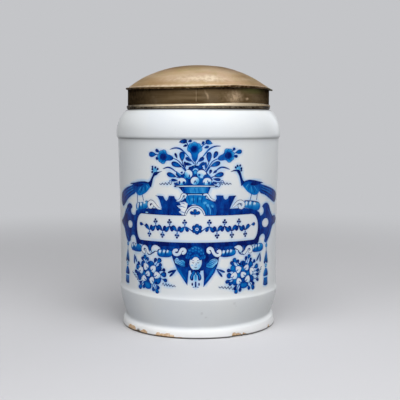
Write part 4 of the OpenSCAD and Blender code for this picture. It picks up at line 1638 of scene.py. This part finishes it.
def lid_dome():
    """The dome with its folded brim, wavy and dented."""
    outline = dome_outline()
    brim = next(i for i, (r, z) in enumerate(outline) if r > DOME_FOOT_R + 0.3)
    turn_in = max(i for i, (r, z) in enumerate(outline) if z <= SEAT_Z + 0.01)

    def place(angle, r, z, number):
        turn = math.radians(angle)
        free = smooth(BAND_R + 0.2, BRIM_R - 0.6, r)
        around = heading(turn) * r
        dent = noise.noise(around * 0.045 + Vector((3, 1, 0))) * 0.5 + noise.noise(around * 0.11) * 0.18
        dent -= 0.8 * spot(angle, 62, 14) * spot(r, 58, 9)
        hold = smooth(3, 25, r) * (1 - smooth(64, 70, r))
        swell = 0.85 * (1 - smooth(12, 68, r))
        if number > turn_in:
            hold *= 0.6
        ragged = 0.14 * noise.noise(Vector((turn * 9, 0, 4)))
        ends = 1.2 * spot(angle, 274, 16) - 0.5 * spot(angle, 84, 14)
        out = (ragged - 0.25 - ends) * free
        up = z + swell + (dent - 0.35) * hold + along(BRIM_WAVES, angle) * free
        return round_point(turn, r + out, up)

    def marks(angle, r, z, number):
        # Blue: painted shade on the brim's edge and underside, on the crown and on the flanks; the inside
        # is darker too
        edge = smooth(BRIM_R - 1.1, BRIM_R - 0.5, r) if number < turn_in else 0.4
        under = 1 if brim + 9 < number <= turn_in else 0
        green = spot(angle, 78, 14) * smooth(69, 73, r)
        front = (angle + 180) % 360 - 180
        flanks = 0.24 * smooth(22, 60, abs(front))
        flanks += 0.14 * smooth(20, 54, front) * (1 - smooth(90, 150, front))
        crown = 0.48 * (1 - smooth(26, 54, r)) + flanks * smooth(10, 42, r)
        scuff_and_highlight = spot(front, 11, 4) * spot(r, 60, 3.4)
        # Painted highlights: a pale line along the top of the brim and a broad pale patch low on the front
        scuff_and_highlight += 0.8 * smooth(69, 71.4, r) * (1 - smooth(72, 73.4, r))
        scuff_and_highlight += 0.74 * spot(front, 2, 36) * spot(r, 60.5, 7.5)
        return green, min(1, scuff_and_highlight) if number < turn_in else 0, max(edge, under, crown)

    angles = [360 / DOME_COLUMNS * k for k in range(DOME_COLUMNS)]
    return turned("lid_dome_worn_and_shaded", outline, place, marks, angles, False)


def lid_band():
    """The band with its lapped seam at the front."""
    inner_r = BAND_R - SHEET
    rows = 18
    outline = [(inner_r, LEDGE_Z + (SEAT_Z - LEDGE_Z) * k / rows) for k in range(rows, -1, -1)]
    outline += [(BAND_R - BAND_EDGE, LEDGE_Z)]
    face_h = SEAT_Z - LEDGE_Z - 2 * BAND_EDGE
    outline += [(BAND_R, LEDGE_Z + BAND_EDGE + face_h * k / rows) for k in range(rows + 1)]
    outline += [(BAND_R - BAND_EDGE, SEAT_Z)]
    fine = [-4 + 0.5 * k for k in range(29)]
    angles = sorted({float(k) for k in range(-180, 180)} | set(fine) | {LAP_FROM - 0.04, LAP_FROM + 0.04})

    def lapped(angle, z):
        """How far the lap stands out, up to its bowed end."""
        if not LAP_LOW < z < LAP_HIGH or angle < LAP_FROM:
            return 0
        bow = LAP_TO + 1.2 * math.sin(math.pi * (z - LAP_LOW) / (LAP_HIGH - LAP_LOW))
        return LAP_PROUD * (1 - smooth(bow - 0.5, bow + 0.5, angle))

    def place(angle, r, z, number):
        turn = math.radians(angle)
        out = 0
        if r == BAND_R:
            around = heading(turn)
            out = 0.22 * noise.noise(around * 3 + Vector((0, 0, z * 0.05))) - 0.1
            out += 0.06 * noise.noise(around * 14 + Vector((0, 0, z * 0.3))) + lapped(angle, z)
        return round_point(turn, r + out, z)

    def marks(angle, r, z, number):
        if r < BAND_R:
            return 0, 0, 0.5
        bow = LAP_TO + 1 - 2.2 * smooth(227, 234, z)
        crescent = spot(angle, bow, 0.8) * spot(z, 229.4, 3.6)
        seam = 0.6 * spot(angle, LAP_FROM, 0.2) * smooth(222, 224, z)
        smudge_and_sheen = spot(angle, 29.5, 5) * spot(z, 227.5, 5) * 0.75 + spot(angle, 40.6, 1.3) * spot(z, 226, 1)
        # A broad painted sheen on the front, right of the seam
        smudge_and_sheen += 0.3 * spot(angle, 26, 13) * spot(z, 227, 6)
        olive = spot(angle, 47, 13) * smooth(229, 233, z)
        # Painted shade under the brim and down both sides, and a dark line at the seam
        sides = smooth(10, 64, -angle) + smooth(34, 72, angle)
        dirt_and_shade = smooth(232.5, 235.5, z) + 0.8 * sides * (1 - 0.5 * smooth(100, 150, abs(angle)))
        dirt_and_shade += 0.2 * spot(angle, -0.4, 0.4)
        return min(1, olive), min(1, crescent + seam + smudge_and_sheen), min(1, dirt_and_shade)

    return turned("lid_band_tarnished_and_shaded", outline, place, marks, angles, True)


def lid_bead():
    """The bead: a small toe under a larger roll."""
    inner_r = BAND_R + 0.05
    toe_h = (BEAD_HIGH - BEAD_LOW) * 0.26
    toe_mid = (inner_r + 0.1, BEAD_LOW + toe_h / 2)
    roll_mid = (inner_r + 0.1, (BEAD_LOW + toe_h + BEAD_HIGH) / 2)
    roll_half = (BEAD_HIGH - BEAD_LOW - toe_h) / 2
    outline = oval(toe_mid, (BEAD_R - toe_mid[0] - 0.3, toe_h / 2), -90, 70, 8)
    crease = len(outline)
    outline += oval(roll_mid, (BEAD_R - roll_mid[0], roll_half), -70, 90, 11)
    outline += [(inner_r - 0.02, BEAD_HIGH - 0.6), (inner_r - 0.02, BEAD_LOW + 0.6)]

    def parted(angle):
        """Where the roll stands off the toe, at the right."""
        return smooth(38, 62, angle) * (1 - smooth(95, 120, angle))

    def place(angle, r, z, number):
        turn = math.radians(angle)
        lift = along(BEAD_WAVES, angle) * smooth(BEAD_LOW, BEAD_HIGH, z)
        if number >= crease:
            lift += 0.25 * parted(angle)
        ragged = 0.16 * noise.noise(Vector((turn * 12, z * 0.4, 1)))
        return round_point(turn, r + min(0, ragged) * (r > inner_r + 0.3), z + lift)

    def marks(angle, r, z, number):
        # Painted shade in the crease between toe and roll, on the toe, deeper at the right front, and down
        # both sides
        hollow = spot(number, crease - 0.5, 1.8)
        shut = smooth(0, 14, angle) * (1 - smooth(40, 60, angle))
        toe = 0.62 + 0.3 * shut - 0.36 * parted(angle) if number < crease - 1 else 0
        sides = 0.7 * smooth(26, 72, abs(angle))
        sides += 0.25 * smooth(14, 60, -angle) * (1 - smooth(100, 160, -angle))
        # A broad painted highlight on the front of the bead
        return 0, spot(angle, 6, 34), min(1, hollow + toe + sides)

    return turned("lid_bead_highlit_and_shaded", outline, place, marks, [k - 180 for k in range(360)], True)


def lid_solder():
    """The lumpy run of solder inside the lid."""
    inner_r = BAND_R - SHEET
    outline = [(inner_r, SEAT_Z - SOLDER_LEG)]
    outline += oval((inner_r - SOLDER_LEG, SEAT_Z - SOLDER_LEG), (SOLDER_LEG, SOLDER_LEG), 0, 90, 5)[1:-1]
    outline += [(inner_r - SOLDER_LEG, SEAT_Z), (inner_r, SEAT_Z)]

    def place(angle, r, z, number):
        turn = math.radians(angle)
        lump = 0.3 * noise.noise(heading(turn) * 9)
        on_band = r > inner_r - 0.01 or z > SEAT_Z - 0.01
        return round_point(turn, r if on_band else r + lump - 0.15, z)

    def marks(angle, r, z, number):
        return 0, 0, 0.3

    return turned("lid_solder_run", outline, place, marks, [2 * k for k in range(180)], True)


def old_brass(name, tones, scuff_and_highlight_colour, dirt_and_shade_colour, rough, metal, sheen, streak):
    """Worn brass: streaked tones, pale scuffs and painted highlights, soiling and painted shade, and a
    little green, by the marks on the piece.
    """
    s = Shader(name)
    marks = s.channels("marks")
    streaks = s.noise(streak, 5, (1, 1, 9), 0.6)
    colour = s.ramp(streaks, [(0.3, tones[0]), (0.5, tones[1]), (0.7, tones[2])])
    blotch = s.noise(45, 3)
    colour = s.mix(s.remap(blotch, 0.52, 0.68, 0, 0.5), colour, tones[3])
    blotch_low = s.noise(62, 3, (1.3, 1, 1))
    colour = s.mix(s.remap(blotch_low, 0.54, 0.7, 0, 0.45), colour, tones[4])
    grain = s.noise(320, 5)
    scuffs_and_highlights = s.math("MULTIPLY", marks["Green"], s.remap(grain, 0.3, 0.65, 0.4, 1.15))
    colour = s.mix(s.remap(scuffs_and_highlights, 0.1, 0.9, 0, 1), colour, scuff_and_highlight_colour)
    dark = s.math("MULTIPLY", marks["Blue"], s.remap(grain, 0.3, 0.65, 1.1, 0.7))
    colour = s.mix(s.remap(dark, 0.05, 0.95, 0, 1), colour, dirt_and_shade_colour)
    colour = s.mix(s.remap(marks["Red"], 0.1, 1, 0, 0.8), colour, VERDIGRIS)
    s.join(colour, s.body.inputs["Base Color"])
    s.join(s.remap(grain, 0.3, 0.7, rough - 0.08, rough + 0.1), s.body.inputs["Roughness"])
    s.set(Metallic=metal, Specular_IOR_Level=sheen, Specular_Tint=dirt_and_shade_colour)
    s.bump(s.math("ADD", streaks, grain), 0.25, 0.0003)
    return s.material


DOME_TONES = [
    srgb(184, 150, 108), srgb(210, 180, 140), srgb(226, 202, 168), srgb(220, 184, 160),
    srgb(194, 178, 122),
]
BAND_TONES = [srgb(60, 46, 28), srgb(94, 76, 52), srgb(128, 109, 82), srgb(122, 106, 86), srgb(84, 69, 40)]
BEAD_TONES = [
    srgb(196, 172, 134), srgb(222, 203, 170), srgb(236, 220, 194), srgb(210, 186, 150),
    srgb(200, 184, 148),
]
SOLDER_TONES = [
    srgb(96, 96, 92), srgb(128, 128, 124), srgb(150, 150, 146), srgb(120, 116, 104), srgb(110, 104, 90),
]
VERDIGRIS = srgb(92, 90, 54)
# Piece, node, slot, tones, colour of scuffs and painted highlights, colour of dirt and painted shade,
# roughness, metal, sheen, scale of the streaks
finishes = [
    (
        lid_dome(), "lid_dome", "brass_dome", DOME_TONES, srgb(244, 226, 200), srgb(70, 50, 26), 0.5, 0.5,
        0.25, 14,
    ),
    (
        lid_band(), "lid_band", "brass_band", BAND_TONES, srgb(182, 158, 128), srgb(32, 24, 15), 0.5, 0.04,
        0, 10,
    ),
    (
        lid_bead(), "lid_bead", "brass_bead", BEAD_TONES, srgb(222, 206, 180), srgb(62, 50, 36), 0.38, 0.6,
        0.25, 16,
    ),
    (
        lid_solder(), "dome_solder", "solder", SOLDER_TONES, srgb(170, 170, 166), srgb(60, 56, 48), 0.45,
        0.7, 0.25, 12,
    ),
]
for piece, node, finish, *look in finishes:
    piece.data.materials.append(old_brass(finish, *look))
    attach(piece, "lid")
    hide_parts(node)

# The floor, the lights and the camera
CAMERA_BACK = 855
CAMERA_Z = 204.5
CAMERA_X = 1.6
CAMERA_DIP = 5.33
LENS = 75.6


def studio():
    """A pale round floor that rises far behind the lamps, and soft lamps above, in front and behind."""
    bm = bmesh.new()
    line = [(r, 0) for r in (0.4, 0.8, 1.4, 2)]
    line += oval((2, 0.5), (0.5, 0.5), -90, 0, 10) + [(2.5, 1.5)]
    turns = [math.radians(5 * k) for k in range(72)]
    rings = [[bm.verts.new((r * math.sin(a), r * math.cos(a), z - 0.0002)) for a in turns] for r, z in line]
    bm.faces.new(rings[0][::-1])
    for lower, upper in zip(rings, rings[1:]):
        for j in range(len(turns)):
            bm.faces.new([lower[j - 1], lower[j], upper[j], upper[j - 1]]).smooth = True
    bmesh.ops.recalc_face_normals(bm, faces=bm.faces)
    mesh = mesh_from(bm, "backdrop")
    backdrop = add_object("backdrop", mesh)
    s = Shader("pale_paper")
    seen = s.add("ShaderNodeLightPath").outputs
    shown = s.math("MAXIMUM", seen["Is Camera Ray"], seen["Is Glossy Ray"])
    shown = s.math("MAXIMUM", shown, seen["Is Transmission Ray"])
    colour = s.mix(shown, srgb(136, 136, 138), srgb(214, 214, 217))
    length = s.add("ShaderNodeVectorMath", operation="LENGTH")
    s.join(s.place, length.inputs[0])
    far = s.math("MULTIPLY", shown, s.remap(length.outputs["Value"], 0.3, 1.1, 0, 1, "SMOOTHSTEP"))
    s.join(s.mix(far, colour, (0, 0, 0, 1)), s.body.inputs["Base Color"])
    s.join(far, s.body.inputs["Emission Strength"])
    s.set(Roughness=0.9, Specular_IOR_Level=0, Emission_Color=srgb(196, 197, 200))
    mesh.materials.append(s.material)
    lamps = [
        ("top", (0.15, -0.65, 1.35), (0, 0, 0.15), 1.4, 18.4),
        ("front", (0.6, -1.5, 0.55), (0, 0, 0.13), 1.0, 9),
        ("side", (-1.1, -1.0, 0.6), (0, 0, 0.13), 0.9, 5),
        ("back", (1.2, 1.1, 0.6), (0, 0, 0.13), 0.9, 4.5),
    ]
    for name, place, target, size, power in lamps:
        data = bpy.data.lights.new(name, "AREA")
        data.shape = "SQUARE"
        data.size = size
        data.energy = power
        lamp = add_object(name, data)
        lamp.location = place
        lamp.rotation_euler = (Vector(target) - Vector(place)).to_track_quat("-Z", "Y").to_euler()
    world = bpy.data.worlds.new("studio")
    bpy.context.scene.world = world
    world.use_nodes = True
    back = world.node_tree.nodes["Background"]
    back.inputs["Color"].default_value = (1, 1, 1, 1)
    back.inputs["Strength"].default_value = 0.15


def camera():
    """The camera, at the height of the shoulder and dipped a little."""
    data = bpy.data.cameras.new("camera")
    data.lens = LENS
    data.sensor_width = 36
    eye = add_object("camera", data)
    eye.location = Vector((CAMERA_X, -CAMERA_BACK, CAMERA_Z)) * MM
    eye.rotation_euler = (math.radians(90 - CAMERA_DIP), 0, 0)
    bpy.context.scene.camera = eye


studio()
camera()
bpy.context.scene.view_settings.view_transform = "Standard"
